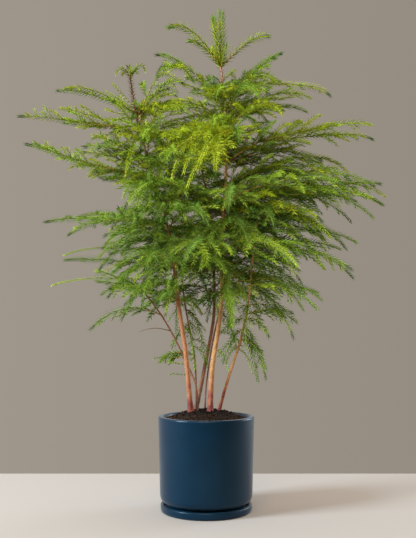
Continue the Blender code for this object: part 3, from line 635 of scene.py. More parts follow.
WHITE = (1, 1, 1)
BARK_FOOT = 0.19  # where the stems rise out of the soil
BARK_WOBBLE = 0.16  # how far the bands of colour stray, against the stem's height
BARKS = {  # height of the stem's tip, and the colours from its foot to there
    "copper": (0.89, (
        (0.0, (0.170, 0.030, 0.026)), (0.035, (0.300, 0.085, 0.055)), (0.085, (0.500, 0.230, 0.100)),
        # painted light: the copper is lighter from 0.52 to 0.76 of the way up, against the shade that the crown casts
        # on the stem
        (0.15, (0.560, 0.300, 0.115)), (0.28, (0.580, 0.290, 0.110)), (0.52, (0.960, 0.530, 0.220)),
        (0.76, (0.940, 0.500, 0.200)), (0.88, (0.600, 0.300, 0.170)), (1.0, (0.460, 0.215, 0.130)))),
    # painted shade: the left stem's bark darkens upwards into the crown
    "left": (0.87, (
        (0.0, (0.170, 0.030, 0.026)), (0.035, (0.300, 0.080, 0.055)), (0.09, (0.500, 0.220, 0.100)),
        (0.30, (0.460, 0.190, 0.070)), (0.75, (0.270, 0.120, 0.042)), (1.0, (0.125, 0.060, 0.022)))),
    "brown": (0.74, (
        (0.0, (0.120, 0.055, 0.035)), (0.08, (0.250, 0.110, 0.060)), (0.3, (0.300, 0.130, 0.065)),
        (1.0, (0.260, 0.115, 0.055)))),
}
BARK_OF = {"centre": "copper", "right": "copper", "left": "left"}  # the other stems are brown
GLAZE = (0.0006, 0.0185, 0.0430)
GLAZE_DEEP = (0.0004, 0.0140, 0.0340)
SOIL = (0.013, 0.008, 0.005)


def fit(tree, made, *feeds, **values):
    """Set a node's properties and inputs, feeds by number and the rest by name. A socket is linked to its input."""
    for name, value in [*values.items(), *enumerate(feeds)]:
        if hasattr(made, str(name)):
            setattr(made, name, value)
            continue
        socket = made.inputs[name.replace("_", " ") if isinstance(name, str) else name]
        if isinstance(value, bpy.types.NodeSocket):
            tree.links.new(value, socket)
        else:
            socket.default_value = value
    return made


def node(tree, kind, *feeds, **values):
    return fit(tree, tree.nodes.new("ShaderNode" + kind), *feeds, **values)


def noise_of(tree, place, scale, detail, **values):
    return node(tree, "TexNoise", Vector=place, Scale=scale, Detail=detail, **values).outputs["Fac"]


def ramp(tree, feed, stops):
    """The colour that a feed from 0 to 1 picks between stops of (place, colour)."""
    made = node(tree, "ValToRGB", feed)
    elements = made.color_ramp.elements
    while len(elements) < len(stops):
        elements.new(0.5)
    for element, (place, colour) in zip(elements, stops):
        element.position = place
        element.color = (*colour, 1)
    return made.outputs["Color"]


def multiplied(tree, factor, a, b):
    return node(tree, "Mix", data_type="RGBA", blend_type="MULTIPLY", Factor=factor, A=a, B=b).outputs["Result"]


def plain(name, colour, roughness, specular=0.5):
    made = bpy.data.materials.new(name)
    made.use_nodes = True
    tree = made.node_tree
    fit(tree, tree.nodes["Principled BSDF"], Base_Color=(*colour, 1), Roughness=roughness, Specular_IOR_Level=specular)
    return made


def opened(made):
    """(node tree, shader, object coordinates) of a material."""
    tree = made.node_tree
    return tree, tree.nodes["Principled BSDF"], node(tree, "TexCoord").outputs["Object"]


def bark_finish(name, high, stops):
    """Bark: its colour goes by height from foot to tip, broken by streaks, freckles and a fine bump."""
    made = plain(name, stops[0][1], 0.62, 0.35)
    tree, shader, place = opened(made)
    height = node(tree, "SeparateXYZ", place).outputs["Z"]
    height = node(tree, "MapRange", Value=height, From_Min=BARK_FOOT, From_Max=high).outputs["Result"]
    wobbly = node(tree, "Math", noise_of(tree, place, 60.0, 3.0), BARK_WOBBLE, height, operation="MULTIPLY_ADD")
    centred = node(tree, "Math", wobbly.outputs[0], BARK_WOBBLE / 2, operation="SUBTRACT")
    colours = ramp(tree, centred.outputs[0], stops)
    stretched = node(tree, "Mapping", Vector=place, Scale=(1, 1, 0.16)).outputs[0]
    streaks = noise_of(tree, stretched, 900.0, 4.0, Roughness=0.6)
    dark = ramp(tree, streaks, ((0.36, (0.62, 0.62, 0.62)), (0.62, WHITE)))
    freckles = node(tree, "TexVoronoi", Vector=place, Scale=330.0).outputs["Distance"]
    spots = ramp(tree, freckles, ((0.10, (0.35, 0.30, 0.28)), (0.24, WHITE)))
    colours = multiplied(tree, 0.75, multiplied(tree, 1, colours, dark), spots)
    bump = node(tree, "Bump", Strength=0.5, Distance=0.0006, Height=streaks).outputs["Normal"]
    fit(tree, shader, Base_Color=colours, Normal=bump)
    return made


def glaze_finish():
    """Deep blue satin glaze with a faint mottle, fine speckle and the slight wave of a poured coat."""
    made = plain("glaze_navy", GLAZE, 0.30, 0.31)
    tree, shader, place = opened(made)
    cloud = noise_of(tree, place, 22.0, 5.0)
    grain = noise_of(tree, place, 1400.0, 2.0)
    speckle = ramp(tree, grain, ((0.34, (0.55, 0.6, 0.65)), (0.44, WHITE)))
    colours = multiplied(tree, 0.5, ramp(tree, cloud, ((0.30, GLAZE_DEEP), (0.72, GLAZE))), speckle)
    gloss = node(tree, "MapRange", Value=cloud, To_Min=0.26, To_Max=0.34).outputs["Result"]
    wave = node(tree, "Bump", Strength=0.12, Distance=0.0008, Height=cloud).outputs["Normal"]
    fine = node(tree, "Bump", Strength=0.10, Distance=0.0002, Height=grain, Normal=wave).outputs["Normal"]
    fit(tree, shader, Base_Color=colours, Roughness=gloss, Normal=fine, Specular_Tint=(0.58, 0.80, 1.0, 1),
        Sheen_Weight=0.14, Sheen_Roughness=0.35, Sheen_Tint=(0.50, 0.80, 1.0, 1))
    return made


def soil_finish():
    """Dark lumpy soil, darkest round the stems."""
    made = plain("soil_dark", SOIL, 0.95, 0.2)
    tree, shader, place = opened(made)
    clumps = noise_of(tree, place, 260.0, 8.0, Roughness=0.7)
    colours = ramp(tree, clumps, ((0.34, (0.004, 0.003, 0.002)), (0.52, SOIL), (0.72, (0.055, 0.026, 0.012))))
    middle = node(
        tree, "Mapping", vector_type="TEXTURE", Vector=place, Scale=(0.062, 0.050, 1), Location=(0, 0, 0.185))
    # darker towards the middle, round the stems
    towards_stems = node(tree, "TexGradient", gradient_type="SPHERICAL", Vector=middle.outputs[0]).outputs["Fac"]
    dark = ramp(tree, towards_stems, ((0.0, WHITE), (0.55, (0.22, 0.22, 0.22))))
    bump = node(tree, "Bump", Strength=0.9, Distance=0.002, Height=clumps).outputs["Normal"]
    fit(tree, shader, Base_Color=multiplied(tree, 1, colours, dark), Normal=bump)
    return made


# Families of needle greens, each from the painted shade of a spray's heart to its fresh tips. The blue ones are for the
# low branches, the olive ones for the high ones, and the lime ones for the sprays in front: fresh growth, painted
# lighter as well for the light that falls on them.
NEEDLE_COLOURS = {
    "green": (
        (0.033, 0.074, 0.010), (0.062, 0.130, 0.016), (0.104, 0.198, 0.022), (0.156, 0.276, 0.028),
        (0.222, 0.362, 0.033), (0.308, 0.462, 0.037), (0.405, 0.560, 0.042)),
    "blue": ((0.038, 0.090, 0.014), (0.070, 0.150, 0.023), (0.112, 0.218, 0.032), (0.168, 0.296, 0.044)),
    "olive": (
        (0.050, 0.080, 0.005), (0.092, 0.138, 0.007), (0.150, 0.212, 0.009), (0.215, 0.292, 0.012),
        (0.290, 0.375, 0.015), (0.375, 0.465, 0.020)),
    "lime": ((0.300, 0.425, 0.014), (0.420, 0.545, 0.026), (0.560, 0.680, 0.050)),
}
SIZES = {family: len(colours) for family, colours in NEEDLE_COLOURS.items()}
FIRST = {family: sum(list(SIZES.values())[:k]) for k, family in enumerate(SIZES)}  # the family's first number
TWIGS = ((0.420, 0.220, 0.055), (0.430, 0.300, 0.050), (0.310, 0.320, 0.035), (0.190, 0.290, 0.020),
         (0.150, 0.085, 0.036))
# From which share of a shoot its tip takes a green of its own: fresh on the leading shoots, deep on the limbs
FRESH_TIPS, DEEP_TIPS = (0.84, 3), (0.90, 1)


def within(family, steps):
    """The numbers of a family's greens, steps on from its darkest."""
    return FIRST[family] + np.clip(steps, 0, SIZES[family] - 1)


LIGHTER, DARKER = (
    np.concatenate([within(family, np.arange(size) + step) for family, size in SIZES.items()]) for step in (1, -1))

finishes = {
    "glaze": glaze_finish(),
    "soil": soil_finish(),
    "needles": [plain(f"needles_{family}_{k}", colour, 0.60, 0.06)
                for family, colours in NEEDLE_COLOURS.items() for k, colour in enumerate(colours)],
    "twigs": [plain(f"twig_{k}", colour, 0.55) for k, colour in enumerate(TWIGS)],
}

# ---------------------------------------------------------------- foliage

# A needle: how far along it its shoulders stand, how far out, and how far in its tip hooks, as shares of its length
NEEDLE_SHOULDER = 0.16
NEEDLE_BOW = 0.035
NEEDLE_HOOK = 0.12
NEEDLE_WIDTH = 0.00205
# Ranks of needles round a shoot: the turn of each and its share of the full length. Those of a side shoot lie
# nearly flat like the teeth of a comb, and those of a leading shoot stand all round it.
COMB = ((6, 1.0), (174, 1.0), (48, 0.92), (132, 0.92), (-30, 0.90), (210, 0.90))
BRUSH = ((0, 1.0), (144, 1.0), (288, 1.0), (72, 1.0), (216, 1.0))
# From one needle to the next on a side shoot, on a limb and on a shoot that carries no side shoots
NEEDLE_GAP, LIMB_GAP, BRUSH_GAP = 0.00150, 0.00135, 0.00185
# The angle in degrees at which they stand off: on side shoots, lime green ones, limbs, slim and leading shoots
COMB_SPREAD, LIME_SPREAD, LIMB_SPREAD, BRUSH_SPREAD, LEADER_SPREAD = 52, 64, 62, 58, 56
LIMB_NEEDLE = 0.0132
LIME_LONGER = 1.30
TIP_FROM = 0.62  # the share of a shoot from which most needles are lighter
TIP_CROWDING = 0.34  # how much closer together they stand towards its tip
LATERAL_GAP = 0.0148  # from one side shoot to the next
LATERAL_SHARE = 0.36  # of the branch's length, for its longest side shoot
LATERAL_MOST = 0.100
LATERAL_THICK, LATERAL_THIN = 0.00075, 0.00040
LATERAL_STEPS, LATERAL_SIDES = 3, 3
LIMB_THIN = 0.00045
LIMB_STEPS, LIMB_SIDES = 14, 6
MIDDLE = 0.62  # the height where the low branches end: below it side shoots hang and greens are bluer
MIDDLE_GREEN = 2.96  # the number of the green of a spray half-way out on a branch at that height


def lateral_profile(t):
    """Length of the side shoots along a branch: short at its foot, longest at a quarter, short at the tip."""
    return np.where(t < 0.22, 0.6 + 0.4 * t / 0.22, 1 - 0.86 * np.clip((t - 0.22) / 0.70, 0, 1) ** 1.05)


def laterals_of(branch, rng):
    """(Shoot of all side shoots, their lengths, their places along the branch)."""
    limb = branch.shoot
    own = limb.length()
    length = own / (branch.span[1] - branch.span[0])
    marks = [0.010 if branch.span[0] == 0 else 0.003]
    while marks[-1] < (0.90 if branch.span[1] == 1 else 0.965) * own:
        marks.append(marks[-1] + LATERAL_GAP * (0.9 + 0.5 * marks[-1] / own) * rng.uniform(0.6, 1.4))
    place = np.array(marks[:-1]) / own
    count = len(place)
    t = branch.span[0] + (branch.span[1] - branch.span[0]) * place
    hand = np.where(np.arange(count) % 2, 1.0, -1.0) * np.where(rng.uniform(0, 1, count) < 0.12, -1, 1)
    along, side, over = limb.frame(place)
    height = limb.at(0.6)[2]
    outer = np.clip((t - 0.40) / 0.35, 0, 1)
    steep = np.clip(along[:, 2], 0, 1)
    angle = np.radians(44 - 10 * t + 22 * outer + 26 * steep + rng.normal(0, 8, count))
    raised = np.clip(60 * (height - MIDDLE), -26, 6) + rng.uniform(-14, 14)
    upright = (56 if height > MIDDLE else 5) if limb.run[0] < 0 and branch.label.startswith("left") else -32
    lift = np.radians(raised * (1 - outer) + upright * outer + rng.normal(0, 15, count))
    sideways = side * (hand * np.cos(lift))[:, None] + over * np.sin(lift)[:, None]
    heading = along * np.cos(angle)[:, None] + sideways * np.sin(angle)[:, None]
    longest = min(LATERAL_SHARE * length + 0.010, LATERAL_MOST) * branch.full
    reach = np.maximum(longest * lateral_profile(t) * rng.uniform(0.66, 1.18, count), 0.010)
    sag = np.clip(0.17 - 0.7 * (height - 0.45), -0.10, 0.24) + 0.5 * steep
    sag += rng.uniform(-0.06, 0.06) + rng.uniform(-0.07, 0.09, count)
    bend = along * (0.14 * reach)[:, None] - UP * (sag * reach)[:, None]
    wave = over * (rng.normal(0, 0.04, count) * reach)[:, None] + sideways * (
        rng.normal(0, 0.04, count) * reach)[:, None]
    shoot = Shoot(limb.at(place), heading * (0.95 * reach)[:, None], bend, wave, np.cross(over, heading), 0.06 * reach)
    return shoot, reach, t


def needles_on(shoot, length, kinds, needle, rng, ranks, gap, spread, first=0.05, radius=0.0006, least=8, tips=None):
    """Needles in ranks along every axis of a bundle, shorter and closer to the axis towards its tip."""
    counts = np.maximum((length * (1 - first) / gap).astype(int), least)
    index = np.repeat(np.arange(len(counts)), counts)
    k = np.arange(len(index)) - np.repeat(np.cumsum(counts) - counts, counts)
    share = (k + 0.5) / counts[index]
    t = first + (1 - first) * (share + TIP_CROWDING * (share - share**2))
    axes = shoot.rows(index)
    along, side, over = axes.frame(t)
    turns, sizes = (np.array(v) for v in zip(*ranks))
    phase = np.radians(turns)[k % len(ranks)] + rng.normal(0, 0.12, len(index))
    outward = side * np.cos(phase)[:, None] + over * np.sin(phase)[:, None]
    tipward = np.clip((t - 0.74) / 0.26, 0, 1)
    size = needle[index] * sizes[k % len(ranks)] * (1 - 0.30 * tipward**1.5) * rng.uniform(0.92, 1.08, len(index))
    size *= 0.75 + 0.25 * np.clip(share / 0.12, 0, 1)
    lean = np.radians(spread - (spread - 28) * tipward**1.4 + rng.normal(0, 3.5, len(index)))
    width = NEEDLE_WIDTH * rng.uniform(0.85, 1.15, len(index)) * (1.15 if least > 8 else 1)
    verts, tris = needle_solids(axes.at(t) + outward * radius * 0.5, along, outward, size, lean, width)
    drawn = kinds[index]
    chance = rng.uniform(0, 1, len(index))
    drawn = np.where((share > TIP_FROM) & (chance < 0.85) | (chance > 0.90), LIGHTER[drawn], drawn)
    # painted shade: most needles near the foot of a shoot take the next darker green, and a few others do at random
    drawn = np.where((share < 0.25) & (chance < 0.6) | (chance < 0.16), DARKER[drawn], drawn)
    if tips:
        drawn = np.where(share > tips[0], tips[1], drawn)
    return verts, tris, np.repeat(drawn, 4)


def twigs_along(bundle, steps, thick, thin, sides, end=0.97):
    """Closed tubes along every axis of a bundle."""
    t = np.linspace(0, end, steps + 1)
    rings = [np.full(len(bundle.start), value) for value in t]
    centres, side, over = (
        np.stack(v, axis=1) for v in zip(*((bundle.at(ring), *bundle.frame(ring)[1:]) for ring in rings)))
    radii = thick[:, None] + (thin - thick)[:, None] * t[None]
    return tube_solids(centres, side, over, radii, sides)


def shade_of(branch, t, rng):
    """The green of each spray, by where its branch stands and how far out it is: painted shade near the stem and at the
    back, painted light far out and in front, lighter higher up.
    """
    x, y, z = branch.shoot.at(0.6)
    # painted shade towards the branch's foot, painted light towards its tip
    level = MIDDLE_GREEN + 2.0 * (t - 0.45) + rng.normal(0, 0.5, len(t)) + rng.normal(0, 0.55) + branch.light
    # lighter higher up; painted shade at the back and painted light in front
    level += 1.3 * (z - MIDDLE) - 4.0 * np.clip(y, -0.12, 0.12)
    chance = rng.uniform(0, 1, len(t))
    step = np.round(level).astype(int)
    green = within("green", step)
    # the lime greens: fresh growth, and painted light on the sprays in front
    if branch.light >= LIME_FROM:
        return np.where(level > 4.2, within("lime", step - 5), green)
    if z < MIDDLE:
        blue = within("blue", np.round(level - 0.6).astype(int))
        return np.where(chance < (0.55 if x < -0.06 else 0.35), blue, green)
    olives = 1 if z > 0.90 else np.clip((z - MIDDLE) / 0.20, 0.08, 0.60)
    return np.where(chance < olives, within("olive", step), green)


def grow(branches, rng):
    """(needles, twigs, limbs) of some branches, each as (vertices, triangles, kinds)."""
    needles, twigs = [], []
    for branch in branches:
        if branch.bare:
            continue
        length = np.full(1, branch.shoot.length())
        one = bundle_of([branch.shoot])
        if branch.needle:
            leading = branch.label == "centre_top"
            kinds = shade_of(branch, np.full(1, 0.8), rng)
            needles.append(needles_on(
                one, length, kinds, np.full(1, branch.needle), rng, BRUSH, BRUSH_GAP * (0.74 if leading else 0.8),
                LEADER_SPREAD if leading else BRUSH_SPREAD, first=0.02, radius=0.0012, least=30,
                tips=FRESH_TIPS if leading else None))
            continue
        shoot, reach, t = laterals_of(branch, rng)
        kinds = shade_of(branch, t, rng)
        lime = branch.light >= LIME_FROM
        size = np.clip(0.0074 + 0.090 * reach, 0.0086, 0.0130) * (LIME_LONGER if lime else 1)
        needles.append(needles_on(
            shoot, reach, kinds, size, rng, COMB, NEEDLE_GAP, LIME_SPREAD if lime else COMB_SPREAD))
        kinds = shade_of(branch, np.full(1, 0.5), rng)
        needles.append(needles_on(
            one, length, kinds, np.full(1, LIMB_NEEDLE), rng, BRUSH, LIMB_GAP, LIMB_SPREAD, radius=0.0012,
            tips=DEEP_TIPS if branch.span[1] == 1 and rng.uniform() < 0.6 else None))
        thick, thin = np.full(len(reach), LATERAL_THICK), np.full(len(reach), LATERAL_THIN)
        verts, tris, per = twigs_along(shoot, LATERAL_STEPS, thick, thin, LATERAL_SIDES)
        tone = np.clip(np.round(1.2 + 2.2 * t + rng.normal(0, 0.5, len(t))), 1, 3).astype(int)
        twigs.append((verts, tris, np.repeat(tone, per)))
    limbs = bundle_of([b.shoot for b in branches])
    thick = np.array([b.thick for b in branches])
    lengths = np.array([b.shoot.length() for b in branches])
    thick = np.minimum(thick * 0.62, 0.0009 + 0.003 * lengths + (thick > LIMB_RADIUS) * 0.0006)
    verts, tris, per = twigs_along(limbs, LIMB_STEPS, thick, np.full(len(thick), LIMB_THIN), LIMB_SIDES, 0.985)
    step = (np.arange(per) // (2 * LIMB_SIDES)) / LIMB_STEPS
    tone = np.clip(np.round(step * 6.0 - 0.2), 0, 3).astype(int)
    tone[-2 * LIMB_SIDES:-LIMB_SIDES] = 0
    tones = np.concatenate([np.full(len(tone), len(TWIGS) - 1) if b.bare else tone for b in branches])
    return merged(needles), merged(twigs), (verts, tris, tones)


def make_foliage(branches):
    for number, piece in enumerate(PIECES):
        rng = np.random.default_rng(SEED + 10 * number)
        grown = grow([b for b in branches if piece_of(b.label) == piece], rng)
        masses, boughs = ([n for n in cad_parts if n.startswith(start) and piece_of(n[len(start):]) == piece]
                          for start in ("foliage_", "bough_"))
        for kind, (verts, tris, kinds), nodes in zip(
                ("needles", "twigs", "limbs"), grown, (masses, masses, masses + boughs)):
            finish, slot = (finishes["needles"], "needles") if kind == "needles" else (finishes["twigs"], "bark")
            obj = mesh_piece(f"{kind}_{piece}", verts, tris, finish, kinds, smooth=kind != "needles")
            ride_as(obj, nodes)


# ---------------------------------------------------------------- stems and boughs with their bark

BARK_STEP = 0.0028  # from one ring of a stem's bark to the next
BARK_SIDES, BOUGH_SIDES = 20, 12
BOUGH_RINGS = 26


def relief(turn, height, rng):
    """Long low ridges and slow swellings of bark, periodic round the stem, from about -1 to 1."""
    total = np.zeros(np.broadcast(turn, height).shape)
    for _ in range(16):
        waves = rng.integers(1, 8)
        total += math.sqrt(1 / 8) * np.sin(waves * turn + rng.uniform(-420, 420) * height + rng.uniform(0, math.tau))
    return total / 1.6


def bark_tube(centres, across, over, radii, run, rng, rough, sides):
    """(vertices, triangles) of a closed tube of bark through close rings, with its relief."""
    turns = np.arange(sides) * math.tau / sides
    skin = radii[:, None] * (1 + rough * relief(turns[None], run[:, None], rng))
    return tube_solids(centres[None], across[None], over[None], skin[None], sides)[:2]


def make_stems(barks):
    for number, stem in enumerate(STEMS):
        rng = np.random.default_rng(SEED + 100 + number)
        low, high = STEMS[stem][2][0][2] + GAP, STEMS[stem][2][-1][2]
        heights = np.linspace(low, high, int((high - low) / BARK_STEP))
        rings = [curve(stem, min(h, high)) for h in heights]
        centres, upward, radii = (np.array([r[k] for r in rings]) for k in range(3))
        upward[0] = UP
        for whorl_stem, height, *_ in WHORLS:
            if whorl_stem == stem:
                radii *= 1 + 0.16 * np.exp(-((heights - height) / 0.006) ** 2)
        across = unit(np.cross(DEPTH, upward))
        run = np.concatenate(((0,), np.cumsum(np.linalg.norm(np.diff(centres, axis=0), axis=1))))
        verts, tris = bark_tube(centres, across, np.cross(upward, across), radii, run, rng, 0.07, BARK_SIDES)
        obj = mesh_piece("bark_" + stem, verts, tris, [barks[BARK_OF.get(stem, "brown")]], smooth=True)
        ride_as(obj, ["stem_" + stem])


SCARS = {  # stem: heights from and to, distance along the stem from one leaf scar to the next
    "centre": (0.262, 0.889, 0.0012), "left": (0.262, 0.868, 0.0012), "right": (0.24, 0.566, 0.0018),
    "back": (0.23, 0.741, 0.0016), "low_left": (0.26, 0.432, 0.0030), "thin_left": (0.26, 0.471, 0.0030),
    "thin_right": (0.26, 0.571, 0.0030),
}
STUBS = {  # stem: heights from and to, spacing and length of the dark needle stubs that stay on the stem
    "centre": (0.46, 0.885, 0.0019, 0.0090), "left": (0.735, 0.866, 0.0009, 0.0090),
    "right": (0.40, 0.56, 0.0030, 0.0045), "back": (0.45, 0.74, 0.0034, 0.0040),
}
GOLDEN = math.radians(137.508)  # the turn from one leaf to the next


def on_stem(stem, low, high, gap, rng):
    """(points on the skin, upward, outward) in a spiral up a stem."""
    count = int((high - low) / gap)
    heights = low + (high - low) * (np.arange(count) + 0.5) / count
    phase = np.arange(count) * GOLDEN + rng.normal(0, 0.2, count)
    points, ups, outs = [], [], []
    for height, turn in zip(heights, phase):
        centre, upward, radius = curve(stem, height)
        across = unit(np.cross(DEPTH, upward))
        outward = across * math.cos(turn) + np.cross(upward, across) * math.sin(turn)
        points.append(centre + outward * radius)
        ups.append(upward)
        outs.append(outward)
    return np.array(points), np.array(ups), np.array(outs)


def make_stem_marks():
    rng = np.random.default_rng(SEED + 200)
    parts = []
    for stem, (low, high, gap) in SCARS.items():
        points, ups, outs = on_stem(stem, low, high, gap, rng)
        count = len(points)
        verts, tris = needle_solids(
            points - outs * 0.0003 - ups * 0.0006, ups, outs, rng.uniform(0.0014, 0.0024, count),
            np.radians(rng.uniform(8, 20, count)), rng.uniform(0.0009, 0.0017, count))
        parts.append((verts, tris, np.repeat(rng.integers(0, 2, count), 4)))
    for stem, (low, high, gap, size) in STUBS.items():
        points, ups, outs = on_stem(stem, low, high, gap, rng)
        count = len(points)
        verts, tris = needle_solids(
            points - outs * 0.0004, ups, outs, size * rng.uniform(0.7, 1.2, count),
            np.radians(rng.uniform(58, 88, count)), np.full(count, 0.0019))
        parts.append((verts, tris, np.repeat(rng.integers(1, 3, count), 4)))
    verts, tris, kinds = merged(parts)
    colours = [plain("scar_dark", (0.055, 0.022, 0.012), 0.8), plain("scar_brown", (0.115, 0.045, 0.020), 0.8),
               plain("stub_green", (0.100, 0.150, 0.012), 0.6)]
    obj = mesh_piece("leaf_scars", verts, tris, colours, kinds)
    ride_as(obj, ["stem_" + stem for stem in SCARS])


def make_boughs(boughs, finish):
    parts = []
    rng = np.random.default_rng(SEED + 300)
    for label, whole, share in boughs:
        t = np.linspace(0, share, BOUGH_RINGS)
        centres = whole.at(t)
        along, side, over = whole.frame(t)
        radii = LIMB_RADIUS * (0.66 - 0.08 * t / share) * (1 + 0.6 * np.exp(-t * whole.length() / 0.004))
        centres[0] -= along[0] * 0.001
        verts, tris = bark_tube(centres, side, over, radii, t * whole.length(), rng, 0.06, BOUGH_SIDES)
        parts.append((verts, tris, np.zeros(len(tris), int)))
    verts, tris, kinds = merged(parts)
    obj = mesh_piece("bark_boughs", verts, tris, [finish], kinds, smooth=True)
    ride_as(obj, ["bough_" + label for label, _, _ in boughs])


# ---------------------------------------------------------------- pot, saucer and soil

LATHE_STEPS = 144


def rounded(points):
    """A profile whose corners are drawn as arcs; each point is (radius, height, size of its corner)."""
    out = []
    for k, (r, z, corner) in enumerate(points):
        here = np.array((r, z))
        if corner == 0 or k in (0, len(points) - 1):
            out.append(here)
            continue
        before, after = np.array(points[k - 1][:2]), np.array(points[k + 1][:2])
        start = here + unit(before - here) * corner
        end = here + unit(after - here) * corner
        for u in np.linspace(0, 1, 7):
            out.append(start * (1 - u) ** 2 + here * 2 * u * (1 - u) + end * u * u)
    return np.array(out)


def turned(name, profile, finish, shaped=None):
    """A closed body turned about Z from a profile that begins and ends on the axis; shaped moves its points."""
    inner = profile[1:-1]
    turns = np.arange(LATHE_STEPS) * math.tau / LATHE_STEPS
    verts = np.stack((
        inner[:, :1] * np.cos(turns), inner[:, :1] * np.sin(turns), np.repeat(inner[:, 1:], LATHE_STEPS, 1)), axis=2)
    verts = np.concatenate((verts.reshape(-1, 3), [(0, 0, profile[0][1]), (0, 0, profile[-1][1])]))
    if shaped:
        verts = shaped(verts)
    obj = mesh_piece(name, verts, tube_faces(len(inner), LATHE_STEPS), [finish], smooth=True)
    obj.data.set_sharp_from_angle(angle=math.radians(40))
    return obj


def make_pot():
    seat = 0.0048
    floor = seat + 0.009
    profile = rounded((
        (0, seat, 0), (0.074, seat, 0.001), (0.074, 0.0165, 0.0006), (0.079, 0.0175, 0.0012),
        (0.0867, 0.0205, 0.003), (0.0902, 0.028, 0.005), (0.0948, 0.1805, 0.0018), (0.0932, 0.1825, 0.0014),
        (0.0862, 0.1825, 0.0014), (0.0838, 0.1795, 0.0018), (0.0820, 0.1740, 0.002), (0.0745, floor + 0.012, 0.006),
        (0.066, floor, 0.003), (0, floor, 0)))
    pot = turned("pot_glazed", profile, finishes["glaze"])
    ride_as(pot, ["pot"])
    saucer_profile = rounded((
        (0, 0, 0), (0.0862, 0, 0.002), (0.0890, 0.0034, 0.0024), (0.0890, 0.0138, 0.0018), (0.0872, 0.0145, 0.001),
        (0.0845, 0.0145, 0.001), (0.0830, 0.0130, 0.001), (0.0812, 0.0045, 0.0016), (0, 0.0045, 0)))
    saucer = turned("saucer_glazed", saucer_profile, finishes["glaze"])
    ride_as(saucer, ["saucer"])


SOIL_RADIUS = 0.0812
MOUND = ((0.006, 0.1925), (0.020, 0.1930), (0.034, 0.1918), (0.043, 0.1900), (0.054, 0.1862), (0.068, 0.1795),
         (SOIL_RADIUS, 0.1762))  # radius and height of the soil's surface
SOIL_WALL = ((0.0806, 0.168), (0.0742, 0.0262), (0.0655, 0.0142))  # and of its side, down inside the pot
CRUMB_COUNT = 1300
CRUMBS = (  # colour, roughness, share of the crumbs among the stems, and how much larger it is by the pot's wall
    ("black", (0.006, 0.004, 0.003), 0.95, 0.86, -0.50),
    ("brown", (0.025, 0.013, 0.007), 0.95, 0.10, 0.22),
    ("bark", (0.085, 0.030, 0.011), 0.9, 0.03, 0.19),
    ("tan", (0.120, 0.055, 0.022), 0.9, 0.01, 0.09),
)


def soil_height(x, y):
    """Height of the soil's lumpy surface above its smooth mound."""
    place = Vector((x, y, 0))
    return noise.fractal(place * 60, 0.8, 2.1, 5) * 0.0022 + noise.noise(place * 260) * 0.0011


def make_soil():
    radii = np.linspace(0.0025, SOIL_RADIUS, 56)
    heights = np.interp(radii, *zip(*MOUND))
    profile = np.array([(0, heights[0]), *zip(radii, heights), *SOIL_WALL, (0, SOIL_WALL[-1][1])])[::-1]

    def lumpy(verts):
        for v in verts:
            if v[2] > 0.17:
                v[2] += soil_height(v[0], v[1]) * min(1, (0.0816 - math.hypot(v[0], v[1])) / 0.004)
        return verts

    soil = turned("soil_surface", profile, finishes["soil"], lumpy)
    soil.data.shade_smooth()
    ride_as(soil, ["soil"])
    rng = np.random.default_rng(SEED + 400)
    parts = []
    corners = np.array(((1, 0, 0), (-1, 0, 0), (0, 1, 0), (0, -1, 0), (0, 0, 1), (0, 0, -1)), float)
    faces = np.array(((0, 2, 4), (2, 1, 4), (1, 3, 4), (3, 0, 4), (2, 0, 5), (1, 2, 5), (3, 1, 5), (0, 3, 5)))
    for _ in range(CRUMB_COUNT):
        r, a = 0.079 * math.sqrt(rng.uniform(0, 1)), rng.uniform(0, math.tau)
        x, y = r * math.cos(a), r * math.sin(a)
        size = 0.0009 + 0.0017 * rng.uniform(0, 1) ** 2
        z = float(np.interp(r, radii, heights)) + soil_height(x, y) + 0.2 * size
        axes, _ = np.linalg.qr(rng.normal(size=(3, 3)))
        if np.linalg.det(axes) < 0:
            axes[:, 0] *= -1
        chip = (corners * rng.uniform(0.55, 1.25, (6, 1)) * (size * np.array((1.2, 0.9, 0.55)))) @ axes.T
        bright = np.clip((r - 0.030) / 0.035, 0, 1)
        drawn = rng.choice(len(CRUMBS), p=[share + more * bright for *_, share, more in CRUMBS])
        parts.append((chip + (x, y, z), faces, np.full(8, drawn)))
    verts, tris, kinds = merged(parts)
    colours = [plain("crumb_" + name, colour, roughness, 0.1) for name, colour, roughness, *_ in CRUMBS]
    crumbs = mesh_piece("soil_crumbs", verts, tris, colours, kinds)
    ride_as(crumbs, ["soil"])


# ---------------------------------------------------------------- stage, light and camera

FLOOR = (0.402, 0.397, 0.392)
FLOOR_CORNERS = ((-7, -0.9, 0), (7, -0.9, 0), (7, 0.38, 0), (-7, 0.38, 0))
# painted light: the backdrop is lighter at the left, where the key light stands, than at the right
BACKDROP_LEFT = (0.345, 0.307, 0.258)
BACKDROP_RIGHT = (0.301, 0.266, 0.223)
BACKDROP_EDGE = 0.27  # the direction's part along X at which the backdrop has its side colours
